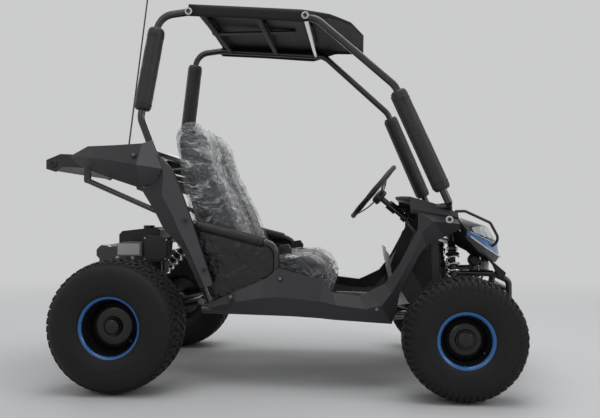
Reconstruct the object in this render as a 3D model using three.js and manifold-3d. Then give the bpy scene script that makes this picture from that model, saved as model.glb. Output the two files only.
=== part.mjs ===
// Off road go kart with two seats, a roll cage and a roof.
// Millimetres. X runs forward, Y to the driver's left, Z up. The ground is Z = 0 and the
// origin is on the ground, midway along the length and on the middle plane.
import * as THREE from 'three';
import { mergeVertices } from 'three/addons/utils/BufferGeometryUtils.js';
import Module from 'manifold-3d';

const wasm = await Module();
wasm.setup();

// Stance
const wheelbase = 1046;
const rearAxleX = -471;
const frontTrackHalf = 427;
const rearTrackHalf = 400;
const railHeight = 240;
const cageRise = 980;
const seatGap = 0.3;
const overrun = 1;

// Front tyre and rim
const frontTyreRadius = 181;
const frontTyreWidth = 146;
const frontBeadRadius = 78;
const frontFlangeRadius = 90;
const frontDiscInset = 31;
const frontHubLength = 70;
const frontLugs = 14;

// Rear tyre and rim
const rearTyreRadius = 203;
const rearTyreWidth = 200;
const rearBeadRadius = 89;
const rearFlangeRadius = 103;
const rearDiscInset = 46;
const rearHubLength = 94;
const rearLugs = 14;

// Both kinds of wheel
const lugDepth = 9;
const rimWall = 4;
const discWall = 5;
const hubRadius = 24;
const hubNutLength = 7.5;
const hubNutRadius = 13;
const rimSegments = 14;

// Frame tubes
const railTube = 28;
const cageTube = 24;
const braceTube = 18;
const tubeSides = 8;
const braceSides = 6;
const rodSides = 8;
const bendSteps = 3;
const railHalf = 290;
const noseRailHalf = 112;
const noseRailHeight = 205;
const railRearX = -232;
const railBendX = 340;
const noseRailRearX = 455;
const noseRailFrontX = 700;
const railFallAtBend = 15;
const railBend = 60;

// Roll cage
const cageTopHalf = 264;
const cageFootHalf = 300;
const postFootHalf = 292;
const screenTopHalf = 288;
const screenFootHalf = 325;
const postTopBend = 30;
const postBend = 60;
const screenBend = 70;
const screenFootShare = 0.344;

// Swing arm and rear axle
const pivotX = -262;
const pivotHeight = 248;
const swingHalf = 150;
const swingTube = 26;
const pivotBushRadius = 14;
const pivotBushLength = 36;
const pivotPinRadius = 6;
const axleRadius = 15;
const bearingRadius = 31;
const bearingWidth = 34;
const lugPlate = 4;
const sprocketHalf = 95;
const sprocketRadius = 68;
const sprocketWall = 5;
const brakeDiscRadius = 70;
const carrierRadius = 30;
const carrierWidth = 26;
const axleCollarWall = 5;
const enginePlateHeight = 291;
const enginePlateWall = 5;
const enginePlateRearX = -655;
const enginePlateFrontX = -515;
const enginePlateHalf = 143;
const swingCheekWall = 6;

// Dampers
const eyeWidth = 14;
const eyeRadius = 10;
const eyePinRadius = 4;
const damperBodyRadius = 13;
const damperRodRadius = 5;
const damperPlay = 0.8;
const frontSpringRadius = 20;
const rearSpringRadius = 22;
const frontSpringWire = 5.5;
const rearSpringWire = 6.5;
const frontCurls = 6;
const rearCurls = 6;
const springSeatWall = 4;
const frontUpperEyeHalf = 175;
const upperEyeDrop = 22;
const towerLugReach = 4;
const towerLugDrop = 8;
const frontLowerEyeHalf = 262;
const frontLowerEyeHeight = 222;
const rearUpperEyeX = -339;
const rearUpperEyeHeight = 454;
const rearLowerEyeX = -487;
const rearLowerEyeHeight = 295;

// Front arms, knuckles and steering
const armPivotHalf = 150;
const armPivotRise = 5;
const armPivotSpread = 75;
const armBushRadius = 11;
const armBushLength = 36;
const armPinRadius = 5;
const armTube = 18;
const kingpinHalf = 340;
const kingpinRadius = 6;
const kingpinTubeRadius = 13;
const yokeHalfHeight = 31;
const yokeEar = 5;
const yokeWidth = 38;
const yokeWeb = 6;
const yokeReach = 26;
const armOuterSpread = 15;
const spindleRadius = 8;
const steerArmLength = 80;
const steerArmWall = 8;
const steerArmRise = 14;
const tieRodRadius = 5;
const tieEyeRadius = 10;
const tieEyeWall = 10;
const rackRise = 36;
const tieDrop = 6;
const tieInset = 5;
const armOuterRise = 6;
const steerArmSink = 4;
const spindleSink = 3;
const hubShoulder = 3;
const rackWebInset = 25;
const rackCupSink = 5;
const tieBallHalf = 154.5;
const tieRodEndHalf = 152.5;
const rackRadius = 8;
const rackHousingRadius = 17;
const rackHousingHalf = 102;
const rackCupRadius = 19;
const rackCupBore = 14;
const rackCupStart = 128;
const rackCupFloor = 140.5;
const rackCupEnd = 176;
const tieBallRadius = 6.5;

// Steering wheel and column
const columnHalf = 150;
const hubX = 325;
const hubHeight = 632;
const columnFall = 40;
const wheelRadius = 118;
const wheelGrip = 9;
const wheelDish = 26;
const hubCapRadius = 30;
const hubCapWall = 18;
const spokeWidth = 26;
const spokeWall = 6;
const columnRadius = 11;
const columnLength = 160;
const columnSleeveRadius = 18;
const columnSleeveLength = 40;
const columnSleeveStart = 72;
const jointCupRadius = 17;
const jointCupLength = 20;
const jointBallRadius = 10;
const lowerShaftRadius = 8;
const pinionHalf = 60;
const pinionStub = 38;
const pinionRadius = 15;
const pinionCollarRadius = 12;
const lowerShaftClearance = 4;

// Nose structure
const towerDrop = 125.12;
const towerHalf = 150;
const upperRailHeight = 348;
const upperRailRootHalf = 135;
const dashRootShare = 0.06;
const noseBarShares = [1.149, 0.2163];
const bumperX = 762.2;
const bumperHalf = 150;
const bumperTube = 20;
const bumperTop = 325;
const bumperDrop = 10;
const bumperUpperBar = 296;
const bumperLowerBar = 212;
const noseCornerX = 712;
const noseCrossX = 690;
const noseCrossRise = 7;
const noseCrossRearX = 480;
const dashBarX = 480;
const dashBarDrop = 14.12;
const rackPlateHalf = 100;
const rackPlateWall = 4;

// Panels
const panelWall = 3;
const sillBossHalf = 324;
const sillEdgeHalf = 322;
const sillRidgeHalf = 342;
const sillTopHalf = 317;
const sillLipHalf = 312;
const bossRadius = 7;
const wingTopHalf = 338;
const wingCreaseHalf = 356;
const wingUnderHalf = 290;
const wingInnerHalf = 262;
const wingFlareHalf = 268;
const wingBlendHalf = 304;
const coverRidgeHalf = 346;
const coverBossHalf = 341;
const wingStayShare = 0.55;
const wingStayTopShare = 0.537;
const wingPostHalf = 318;
const roofHalf = 280;
const roofCrown = 8;
const roofRibWidth = 24;
const cowlHalf = 318;
const noseHalf = 300;
const seatBoxHeight = 300;
const panHalf = 276.7;
const seatBoxFrontX = 172;
const seatBoxFootX = 180;
const floorFrontX = 290;
const toeStartX = 318;
const toeStartHeight = 245;
const toeBendX = 430;
const toeBendHeight = 262;
const toeTopX = 475;
const toeTopHeight = 390;

// Seats
const seatHalf = 142;
const seatWidth = 256;
const seatLength = 380;
const seatRearX = -195;
const seatHeight = 542;
const seatRoll = 16;
const seatSideRoll = 5;
const seatChannel = 4;

// Cage pads and side guards
const postPadRadius = 28;
const screenPadRadius = 27;
const armPadRadius = 17.5;
const padRound = 6;
const padSegments = 12;
const armPadRound = 2.5;
const armPadShares = [0.17, 0.86];
const armPadRoomShares = [0.16, 0.87];
const sideBarRootInset = 2;
const sideBarTube = 22;
const sideBarBend = 45;
const guardBulge = 7;

// Engine group
const engineRearX = -640;
const engineFrontX = -528;
const engineHalf = 80;
const engineTop = 440;
const crankTop = 395;
const engineNeckRearX = -600;
const finWall = 4;
const finPitch = 9;
const finReach = 12;
const finCount = 4;
const clutchCoverRadius = 52;
const clutchCoverHeight = 382;
const clutchRearX = -585;
const clutchCoverFall = 20;
const clutchFrontX = -445;
const clutchInnerHalf = 78;
const clutchOuterHalf = 130;
const mufflerX = -642;
const mufflerHeight = 408;
const mufflerRadius = 28;
const mufflerLength = 150;
const tankRearX = -572;
const tankFrontX = -424;
const tankHalf = 110;
const tankHeight = 60;
const tankFall = 14;
const tankChamfer = 12;
const tankCapRadius = 20;
const tankCapHeight = 12;
const cleanerRearX = -552;
const cleanerFrontX = -466;
const cleanerBottom = 402;
const cleanerTop = 450;
const cleanerOuterHalf = 190;
const cleanerChamfer = 16;

// Tail
const tailHalf = 255;
const tailCarrierX = -640;
const tailCarrierHalf = 268;
const tailCarrierBend = 50;
const carrierRootShare = [0.075, 0.505];
const carrierTailShare = 0.484;
const carrierRootHalf = 283;
const braceShares = [[-0.146, 0.424], [0.158, 0.287]];
const braceFootHalf = 295;
const mastX = -587;
const mastPlateRise = 1.68;
const mastRise = 762;
const mastLean = 0.127;
const mastRadius = 3;
const ferruleRadius = 7;
const ferruleHeight = 30;
const mastPlateWidth = 24;

// Pedals
const throttleHalf = 90;
const brakeHalf = 210;
const pedalX = 392;
const pedalPivotHeight = 276;
const pedalLugDrop = 20;
const pedalLength = 122;
const pedalLean = 0.17;
const pedalBossRadius = 9;
const pedalWidth = 16;
const pedalArmWall = 10;
const pedalPlateWidth = 56;
const pedalPlateLength = 62;
const pedalPlateWall = 8;

// Finishes
const blackSteel = finish(0x141416, 0.3, 0.4);
const panelPlastic = finish(0x46464c, 0.6, 0.0);
const padVinyl = finish(0x222226, 0.7, 0.0);
const glossVinyl = finish(0x1b1b1f, 0.35, 0.0);
const seatVinyl = finish(0x2a2c30, 0.6, 0.0);
const tyreRubber = finish(0x1a1a1b, 0.9, 0.0);
const rimPaint = finish(0x17181b, 0.4, 0.4);
const zinc = finish(0xb9bcc0, 0.35, 0.9);
const springSteel = finish(0xd4d6d8, 0.25, 0.9);
const castAlloy = finish(0x55575b, 0.5, 0.6);
const tankBlack = finish(0x1d1e21, 0.35, 0.1);
const cleanerPlastic = finish(0x8f9296, 0.6, 0.0);

function finish(color, roughness, metalness) {
  return new THREE.MeshStandardMaterial({ color, roughness, metalness });
}

const frontAxleX = rearAxleX + wheelbase;
const kart = new THREE.Group();
const sides = { right: -1, left: 1 };

// Side view grid: shares of the wheelbase from the rear axle and of the rise above the rails
const gridX = (share) => rearAxleX + share * wheelbase;
const gridZ = (share) => railHeight + share * cageRise;
const gridPoint = ([xShare, zShare], y) => new THREE.Vector3(gridX(xShare), y, gridZ(zShare));
const point = (x, y, z) => new THREE.Vector3(x, y, z);
const armPivotHeight = noseRailHeight + armPivotRise;
const rackHeight = armPivotHeight + rackRise;
const bumperBottom = noseRailHeight - bumperDrop;
const noseCrossHeight = noseRailHeight + noseCrossRise;
const screenFootHeight = gridZ(screenFootShare);
const dashBarHeight = screenFootHeight - dashBarDrop;
const towerHeight = screenFootHeight - towerDrop;
const frontUpperEyeHeight = towerHeight - upperEyeDrop;
const mastBaseHeight = gridZ(carrierTailShare) + mastPlateRise;
const mastTopHeight = mastBaseHeight + mastRise;

// Radius of a faceted bore that stays clear of a round pin of this radius
function clearRadius(radius, segments) {
  return (radius + seatGap) / Math.cos(Math.PI / segments);
}

// Closed surfaces and their joins

function closedSurface(positions, triangles) {
  const geometry = new THREE.BufferGeometry();
  const flat = positions.flatMap((p) => [p.x, p.y, p.z]);
  geometry.setAttribute('position', new THREE.Float32BufferAttribute(flat, 3));
  let volume = 0;
  for (const [a, b, c] of triangles) {
    volume += positions[a].dot(positions[b].clone().cross(positions[c]));
  }
  const outward = volume >= 0 ? triangles : triangles.map(([a, b, c]) => [a, c, b]);
  geometry.setIndex(outward.flat());
  return geometry;
}

function solid(geometry) {
  const bare = geometry.clone();
  bare.deleteAttribute('normal');
  bare.deleteAttribute('uv');
  const merged = mergeVertices(bare);
  const index = Array.from(merged.index.array);
  const kept = [];
  for (let i = 0; i < index.length; i += 3) {
    const [a, b, c] = index.slice(i, i + 3);
    if (a !== b && b !== c && c !== a) kept.push(a, b, c);
  }
  const vertProperties = new Float32Array(merged.attributes.position.array);
  const mesh = new wasm.Mesh({ numProp: 3, vertProperties, triVerts: new Uint32Array(kept) });
  return new wasm.Manifold(mesh);
}

function surface(manifold) {
  const mesh = manifold.getMesh();
  const geometry = new THREE.BufferGeometry();
  geometry.setAttribute('position', new THREE.BufferAttribute(new Float32Array(mesh.vertProperties), 3));
  geometry.setIndex(Array.from(mesh.triVerts));
  return geometry;
}

function welded(...geometries) {
  return surface(geometries.map(solid).reduce((whole, piece) => whole.add(piece)));
}

function cut(geometry, ...tools) {
  return surface(tools.map(solid).reduce((whole, tool) => whole.subtract(tool), solid(geometry)));
}

// Tubes, rods and plates

class BentPath extends THREE.Curve {
  constructor(corners, bend) {
    super();
    this.places = [corners[0].clone()];
    for (let i = 1; i < corners.length - 1; i += 1) this.places.push(...BentPath.arc(corners, i, bend));
    this.places.push(corners[corners.length - 1].clone());
  }

  static arc(corners, i, bend) {
    const corner = corners[i];
    const back = corners[i - 1].clone().sub(corner).normalize();
    const ahead = corners[i + 1].clone().sub(corner).normalize();
    const turn = Math.PI - back.angleTo(ahead);
    const reach = bend * Math.tan(turn / 2);
    const middle = back.clone().add(ahead).normalize();
    const centre = corner.clone().addScaledVector(middle, bend / Math.cos(turn / 2));
    const first = corner.clone().addScaledVector(back, reach).sub(centre);
    const axis = back.clone().cross(ahead).normalize();
    const arc = [];
    for (let step = 0; step <= bendSteps; step += 1) {
      arc.push(first.clone().applyAxisAngle(axis, -turn * step / bendSteps).add(centre));
    }
    return arc;
  }

  get steps() {
    return this.places.length - 1;
  }

  getPoint(share) {
    return this.places[Math.round(share * this.steps)].clone();
  }

  getPointAt(share) {
    return this.getPoint(share);
  }

  getTangent(share) {
    const i = Math.round(share * this.steps);
    const before = this.places[Math.max(i - 1, 0)];
    const after = this.places[Math.min(i + 1, this.steps)];
    return after.clone().sub(before).normalize();
  }

  getTangentAt(share) {
    return this.getTangent(share);
  }
}

function polygon(radius, sideCount) {
  const corners = [];
  for (let i = 0; i < sideCount; i += 1) {
    const angle = (i + 0.5) * 2 * Math.PI / sideCount;
    corners.push(new THREE.Vector2(radius * Math.cos(angle), radius * Math.sin(angle)));
  }
  return new THREE.Shape(corners);
}

function sweep(path, radius, sideCount) {
  const options = { steps: path.steps, extrudePath: path, bevelEnabled: false };
  return new THREE.ExtrudeGeometry(polygon(radius, sideCount), options);
}

const sidesFor = (diameter) => (diameter < sideBarTube ? braceSides : tubeSides);

function tube(corners, diameter, bend = diameter, sideCount = sidesFor(diameter)) {
  return sweep(new BentPath(corners, bend), diameter / 2, sideCount);
}

function grown(corners, diameter, bend = diameter) {
  return tube(corners, diameter + 2 * seatGap, bend);
}

function rod(from, to, radius, sideCount = rodSides) {
  return tube([from, to], 2 * radius, radius, sideCount);
}

// A turned piece between two points, from a closed profile of [radius, distance] pairs
function turned(from, to, profile, segments) {
  const length = from.distanceTo(to);
  const pairs = profile(length).map(([r, along]) => new THREE.Vector2(r, along));
  if (THREE.ShapeUtils.isClockWise(pairs)) pairs.reverse();
  pairs.push(pairs[0].clone());
  const geometry = new THREE.LatheGeometry(pairs, segments);
  const axis = to.clone().sub(from).normalize();
  geometry.applyQuaternion(new THREE.Quaternion().setFromUnitVectors(new THREE.Vector3(0, 1, 0), axis));
  geometry.translate(from.x, from.y, from.z);
  return surface(solid(geometry));
}

function pipe(from, to, outer, bore, segments = 16) {
  return turned(from, to, (length) => [[bore, 0], [outer, 0], [outer, length], [bore, length]], segments);
}

function block(low, high) {
  const size = high.clone().sub(low);
  const geometry = new THREE.BoxGeometry(size.x, size.y, size.z);
  geometry.translate((low.x + high.x) / 2, (low.y + high.y) / 2, (low.z + high.z) / 2);
  return geometry;
}

// A flat link with round ends between two centres; axis names the direction of its thickness
function link(from, to, fromRadius, toRadius, thickness, axis) {
  const flat = (p) => (axis === 'y' ? [p.x, p.z] : axis === 'x' ? [p.y, p.z] : [p.x, p.y]);
  const [ax, ay] = flat(from);
  const [bx, by] = flat(to);
  const heading = Math.atan2(by - ay, bx - ax);
  const shape = new THREE.Shape();
  shape.absarc(ax, ay, fromRadius, heading + Math.PI / 2, heading + 3 * Math.PI / 2, false);
  shape.absarc(bx, by, toRadius, heading - Math.PI / 2, heading + Math.PI / 2, false);
  return slab(shape, thickness, axis, from);
}

function slab(shape, thickness, axis, middle) {
  const geometry = new THREE.ExtrudeGeometry(shape, {
    depth: thickness,
    bevelEnabled: false,
    curveSegments: 3,
  });
  geometry.translate(0, 0, -thickness / 2);
  if (axis === 'y') {
    geometry.rotateX(Math.PI / 2);
    geometry.translate(0, middle.y, 0);
  } else if (axis === 'x') {
    geometry.rotateX(Math.PI / 2);
    geometry.rotateZ(Math.PI / 2);
    geometry.translate(middle.x, 0, 0);
  } else {
    geometry.translate(0, 0, middle.z);
  }
  return geometry;
}

// An outline in the side view, drawn out sideways between two distances from the middle plane
function sideSlab(points, fromY, toY) {
  const shape = new THREE.Shape(points.map(([x, z]) => new THREE.Vector2(x, z)));
  const middle = { y: (fromY + toY) / 2 };
  return slab(shape, Math.abs(toY - fromY), 'y', middle);
}

// A moulded skin from rows of points, thickened inwards by its wall
function moulding(rows, wall) {
  const across = rows[0].length;
  const skin = rows.flat();
  const count = skin.length;
  const normals = skin.map(() => new THREE.Vector3());
  const faces = [];
  for (let i = 0; i < rows.length - 1; i += 1) {
    for (let j = 0; j < across - 1; j += 1) {
      const a = i * across + j;
      faces.push([a, a + across, a + across + 1], [a, a + across + 1, a + 1]);
    }
  }
  for (const [a, b, c] of faces) {
    const normal = skin[b].clone().sub(skin[a]).cross(skin[c].clone().sub(skin[a]));
    [a, b, c].forEach((corner) => normals[corner].add(normal));
  }
  const back = skin.map((p, k) => p.clone().addScaledVector(normals[k].normalize(), -wall));
  const edges = new Set(faces.flatMap(([a, b, c]) => [`${a} ${b}`, `${b} ${c}`, `${c} ${a}`]));
  const triangles = [...faces, ...faces.map(([a, b, c]) => [a + count, c + count, b + count])];
  for (const edge of edges) {
    const [a, b] = edge.split(' ').map(Number);
    if (!edges.has(`${b} ${a}`)) triangles.push([b, a, a + count], [b, a + count, b + count]);
  }
  return closedSurface([...skin, ...back], triangles);
}

function mirrored(geometry) {
  const flipped = geometry.index ? geometry.toNonIndexed() : geometry.clone();
  const place = flipped.attributes.position;
  for (let i = 0; i < place.count; i += 3) {
    const corners = [0, 1, 2].map((k) => [place.getX(i + k), -place.getY(i + k), place.getZ(i + k)]);
    [corners[0], corners[2], corners[1]].forEach((corner, k) => place.setXYZ(i + k, ...corner));
  }
  flipped.deleteAttribute('normal');
  flipped.deleteAttribute('uv');
  return flipped;
}

function add(name, geometry, material, place = point(0, 0, 0)) {
  const mesh = new THREE.Mesh(geometry, material);
  mesh.name = name;
  mesh.position.copy(place);
  kart.add(mesh);
}

// Adds a piece drawn for the right side, and its mirror image on the left
function addPair(name, right, material) {
  add(`${name}_right`, right, material);
  add(`${name}_left`, mirrored(right), material);
}

// Wheels. Each is drawn about its own centre with its outer face towards negative Y.

const sectionShares = [
  [0, -0.78, 0], [0.25, -0.97, 0], [0.62, -1, 0], [0.9, -0.9, 1], [1, -0.42, 1],
  [1, 0.42, 2], [0.9, 0.9, 2], [0.62, 1, 0], [0.25, 0.97, 0], [0, 0.78, 0],
  [0, 0.66, 0], [0.8, 0.8, 0], [0.8, -0.8, 0], [0, -0.66, 0],
];

function tyre(radius, width, bead, lugs) {
  const stations = 2 * lugs;
  const places = [];
  for (let i = 0; i < stations; i += 1) {
    const angle = i * 2 * Math.PI / stations - Math.PI / 2;
    for (const [rise, side, row] of sectionShares) {
      const sunk = row === 1 ? i % 2 : row === 2 ? (i + 1) % 2 : 0;
      const r = bead + rise * (radius - bead) - sunk * lugDepth;
      places.push(point(r * Math.cos(angle), side * width / 2, r * Math.sin(angle)));
    }
  }
  const ring = sectionShares.length;
  const triangles = [];
  for (let i = 0; i < stations; i += 1) {
    const next = ((i + 1) % stations) * ring;
    for (let j = 0; j < ring; j += 1) {
      const k = (j + 1) % ring;
      triangles.push([i * ring + j, next + j, next + k], [i * ring + j, next + k, i * ring + k]);
    }
  }
  return closedSurface(places, triangles);
}

function rim({ bead, flange, width, radius, inset, hub, bore }) {
  const [, foot] = sectionShares[0];
  const [wallRise, wallSide] = sectionShares[1];
  const half = -foot * width / 2 + seatGap + rimWall;
  const flare = (flange - bead) * (foot - wallSide) * width / 2 / (wallRise * (radius - bead));
  const lip = half - rimWall + flare + 2 * seatGap;
  const barrel = bead - seatGap - rimWall;
  const disc = half - inset;
  const hubEnd = hub / 2;
  const outline = [
    [flange, lip + rimWall], [flange, lip], [bead - seatGap, half - rimWall],
    [bead - seatGap, rimWall - half], [flange, -lip], [flange, -lip - rimWall], [barrel, -half],
    [barrel, disc - discWall], [hubRadius, disc - discWall], [hubRadius, -hubEnd], [bore, -hubEnd],
    [bore, hubEnd], [hubRadius, hubEnd], [hubRadius, disc], [barrel, disc], [barrel, half],
  ];
  return turned(point(0, 0, 0), point(0, -1, 0), () => outline, rimSegments);
}

function wheel(side, end, axleX, trackHalf, size) {
  const place = point(axleX, sides[side] * trackHalf, size.radius);
  const rubber = tyre(size.radius, size.width, size.bead, size.lugs);
  const metal = rim(size);
  const face = (geometry) => (side === 'left' ? mirrored(geometry) : geometry);
  add(`tyre_${end}_${side}`, face(rubber), tyreRubber, place);
  add(`rim_${end}_${side}`, face(metal), rimPaint, place);
}

const frontWheel = {
  radius: frontTyreRadius, width: frontTyreWidth, bead: frontBeadRadius, flange: frontFlangeRadius,
  inset: frontDiscInset, hub: frontHubLength, lugs: frontLugs, bore: clearRadius(spindleRadius, rimSegments),
};
const rearWheel = {
  radius: rearTyreRadius, width: rearTyreWidth, bead: rearBeadRadius, flange: rearFlangeRadius,
  inset: rearDiscInset, hub: rearHubLength, lugs: rearLugs, bore: clearRadius(axleRadius, rimSegments),
};
for (const side of Object.keys(sides)) {
  wheel(side, 'front', frontAxleX, frontTrackHalf, frontWheel);
  wheel(side, 'rear', rearAxleX, rearTrackHalf, rearWheel);
}

// Main rails, with the pins that carry the front arms

const railCorners = [
  point(railRearX, -railHalf, railHeight),
  point(railBendX, -railHalf, railHeight - railFallAtBend),
  point(noseRailRearX, -noseRailHalf, noseRailHeight),
  point(noseRailFrontX, -noseRailHalf, noseRailHeight),
];
const railAt = (x) => railHeight - railFallAtBend * (x - railRearX) / (railBendX - railRearX);
const mirrorCorners = (corners) => corners.map((p) => point(p.x, -p.y, p.z));
const armPivots = [frontAxleX - armPivotSpread, frontAxleX + armPivotSpread];

function frameRail() {
  const pieces = [tube(railCorners, railTube, railBend)];
  const plateOffset = armBushLength / 2 + seatGap + lugPlate / 2;
  for (const x of armPivots) {
    for (const offset of [-plateOffset, plateOffset]) {
      const root = point(x + offset, -noseRailHalf - railTube / 4, noseRailHeight);
      const tip = point(x + offset, -armPivotHalf, armPivotHeight);
      pieces.push(link(root, tip, armBushRadius, armBushRadius, lugPlate, 'x'));
    }
    const reach = plateOffset + lugPlate;
    const pinStart = point(x - reach, -armPivotHalf, armPivotHeight);
    const pinEnd = point(x + reach, -armPivotHalf, armPivotHeight);
    pieces.push(rod(pinStart, pinEnd, armPinRadius));
  }
  return welded(...pieces);
}
addPair('frame_rail', frameRail(), blackSteel);

const grownRails = [
  grown(railCorners, railTube, railBend),
  grown(mirrorCorners(railCorners), railTube, railBend),
];

// Roll cage: a hoop behind the seats and a hoop round the roof and windscreen

const postShares = [[0.18, 0.988], [0.083, 0.976], [0.035, 0.628], [0.261, 0]];
const postHalves = [cageTopHalf, cageTopHalf, cageFootHalf, postFootHalf];
const postCorners = postShares.map((share, i) => gridPoint(share, -postHalves[i]));
const screenShares = [[0.181, 0.988], [0.577, 0.957], [0.818, 0.724], [0.973, screenFootShare]];
const screenHalves = [cageTopHalf, cageTopHalf, screenTopHalf, screenFootHalf];
const screenCorners = screenShares.map((share, i) => gridPoint(share, -screenHalves[i]));

// Place on the lower run of the rear post at a height
function onPost(z) {
  const share = (z - postCorners[2].z) / (postCorners[3].z - postCorners[2].z);
  return postCorners[2].clone().lerp(postCorners[3], share);
}

const bothSides = (corners) => [corners, mirrorCorners(corners)];
const crossTube = (x, half, z, diameter) => tube([point(x, -half, z), point(x, half, z)], diameter);

function frontHoop() {
  const roofZ = (x) => screenCorners[0].z
    + (screenCorners[1].z - screenCorners[0].z)
    * (x - screenCorners[0].x) / (screenCorners[1].x - screenCorners[0].x);
  const pieces = bothSides(screenCorners).map((corners) => tube(corners, cageTube, screenBend));
  for (const x of roofBars) pieces.push(crossTube(x, cageTopHalf, roofZ(x), braceTube));
  return { geometry: welded(...pieces), roofZ };
}
const roofBarShares = [0.215, 0.393, 0.545];
const roofBars = roofBarShares.map(gridX);
const hoop = frontHoop();

const carrierCorners = [
  gridPoint(carrierRootShare, -carrierRootHalf),
  point(tailCarrierX, -tailCarrierHalf, gridZ(carrierTailShare)),
  point(tailCarrierX, tailCarrierHalf, gridZ(carrierTailShare)),
  gridPoint(carrierRootShare, carrierRootHalf),
];
const grownCarrier = grown(carrierCorners, braceTube, tailCarrierBend);
const braceHalves = [tailCarrierHalf, braceFootHalf];
const braceCorners = braceShares.map((share, i) => gridPoint(share, -braceHalves[i]));
const hoopBarShares = [0.515, 0.441, 0.227, 0.046];

function rearHoop() {
  const pieces = [tube(carrierCorners, braceTube, tailCarrierBend)];
  for (const corners of bothSides(postCorners)) pieces.push(tube(corners, cageTube, postBend));
  for (const share of hoopBarShares) {
    const place = onPost(gridZ(share));
    pieces.push(crossTube(place.x, -place.y, place.z, cageTube));
  }
  for (const corners of bothSides(braceCorners)) {
    pieces.push(tube(corners, braceTube));
    const top = corners[0].clone().setZ(carrierCorners[1].z);
    pieces.push(link(corners[0], top, braceTube / 2, braceTube / 2, braceTube, 'y'));
  }
  const lowBar = onPost(gridZ(hoopBarShares[3]));
  const plateOffset = pivotBushLength / 2 + seatGap + lugPlate / 2;
  for (const y of [-swingHalf, swingHalf]) {
    for (const offset of [-plateOffset, plateOffset]) {
      const root = point(lowBar.x, y + offset, lowBar.z);
      const tip = point(pivotX, y + offset, pivotHeight);
      pieces.push(link(root, tip, pivotBushRadius, pivotBushRadius, lugPlate, 'y'));
    }
    const reach = plateOffset + lugPlate;
    const pinStart = point(pivotX, y - reach, pivotHeight);
    const pinEnd = point(pivotX, y + reach, pivotHeight);
    pieces.push(rod(pinStart, pinEnd, pivotPinRadius));
  }
  const highBar = onPost(gridZ(hoopBarShares[2]));
  const damperRoot = point(highBar.x, 0, highBar.z);
  pieces.push(...damperLugs('y', damperRoot, point(rearUpperEyeX, 0, rearUpperEyeHeight)));
  const plateEnd = point(mastX + mastPlateWidth / 2, mastPlateWidth / 2, mastBaseHeight);
  pieces.push(block(point(tailCarrierX, -mastPlateWidth / 2, mastBaseHeight - lugPlate), plateEnd));
  return cut(welded(...pieces), ...grownRails, grown(screenCorners, cageTube, screenBend),
    grown(mirrorCorners(screenCorners), cageTube, screenBend));
}

// Two plates and the pin between them that hold one eye of a damper
function damperLugs(axis, root, eye) {
  const offset = eyeWidth / 2 + seatGap + lugPlate / 2;
  const reach = offset + lugPlate;
  const along = axis === 'y' ? point(0, 1, 0) : point(1, 0, 0);
  const plates = [-offset, offset].map((shift) => {
    const from = root.clone().addScaledVector(along, shift);
    return link(from, eye.clone().addScaledVector(along, shift), eyeRadius, eyeRadius, lugPlate, axis);
  });
  const pinStart = eye.clone().addScaledVector(along, -reach);
  const pinEnd = eye.clone().addScaledVector(along, reach);
  const pin = rod(pinStart, pinEnd, eyePinRadius);
  return [...plates, pin];
}
add('rear_hoop', rearHoop(), blackSteel);

// Front structure: towers, upper rails, dash bar, rack housing and bumper

const [, , , aPostFoot] = screenCorners;
const strutCorners = [aPostFoot, point(frontAxleX, -towerHalf, towerHeight)];
const [strutTop, strutFoot] = strutCorners;
const dashRoot = strutTop.clone().lerp(strutFoot, dashRootShare);
const dashCorners = [
  dashRoot,
  point(dashBarX, -railHalf, dashBarHeight),
  point(dashBarX, railHalf, dashBarHeight),
  point(dashRoot.x, -dashRoot.y, dashRoot.z),
];
const fall = THREE.MathUtils.degToRad(columnFall);
const columnAxis = point(Math.cos(fall), 0, -Math.sin(fall));
const wheelHub = point(hubX, columnHalf, hubHeight);
const onColumn = (distance) => wheelHub.clone().addScaledVector(columnAxis, distance);
const rackX = frontAxleX + steerArmLength;
const pinion = point(rackX, pinionHalf, rackHeight);
const joint = onColumn(columnLength);
const shaftAxis = pinion.clone().sub(joint).normalize();

function frontStructure() {
  const pieces = [
    tube(dashCorners, bumperTube, postBend),
    crossTube(frontAxleX, towerHalf, towerHeight, bumperTube),
    crossTube(noseCrossX, noseRailHalf, noseCrossHeight, bumperTube),
    crossTube(bumperX, bumperHalf, bumperUpperBar, bumperTube),
    crossTube(bumperX, bumperHalf, bumperLowerBar, bumperTube),
  ];
  const right = [
    [point(frontAxleX, -noseRailHalf, noseRailHeight), point(frontAxleX, -towerHalf, towerHeight)],
    strutCorners,
    [point(frontAxleX, -upperRailRootHalf, upperRailHeight),
      point(noseCornerX, -bumperHalf, upperRailHeight)],
    [point(noseCrossX, -rackPlateHalf, noseCrossHeight), point(noseCornerX, -bumperHalf, upperRailHeight)],
    [point(noseCornerX, -bumperHalf, upperRailHeight), point(bumperX, -bumperHalf, bumperTop),
      point(bumperX, -bumperHalf, bumperBottom), point(noseRailFrontX, -noseRailHalf, noseRailHeight)],
  ];
  for (const corners of right.flatMap(bothSides)) pieces.push(tube(corners, bumperTube));
  for (const y of [-1, 1]) {
    const root = point(frontAxleX, y * (towerHalf + towerLugReach), towerHeight - towerLugDrop);
    pieces.push(...damperLugs('x', root, point(frontAxleX, y * frontUpperEyeHalf, frontUpperEyeHeight)));
  }
  pieces.push(...rackHousing(), ...columnSleeve());
  const shaftRoom = 2 * clearRadius(columnRadius, rodSides);
  const shaft = tube([onColumn(0), onColumn(columnLength)], shaftRoom, columnRadius, rodSides);
  const rackHoleHalf = rackHousingHalf + overrun;
  const rackHole = rod(point(rackX, -rackHoleHalf, rackHeight), point(rackX, rackHoleHalf, rackHeight),
    clearRadius(rackRadius, rodSides));
  const clearShaft = rod(joint, pinion.clone().addScaledVector(shaftAxis, -pinionStub),
    lowerShaftRadius + lowerShaftClearance);
  return cut(welded(...pieces), ...grownRails, shaft, rackHole, clearShaft);
}

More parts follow.
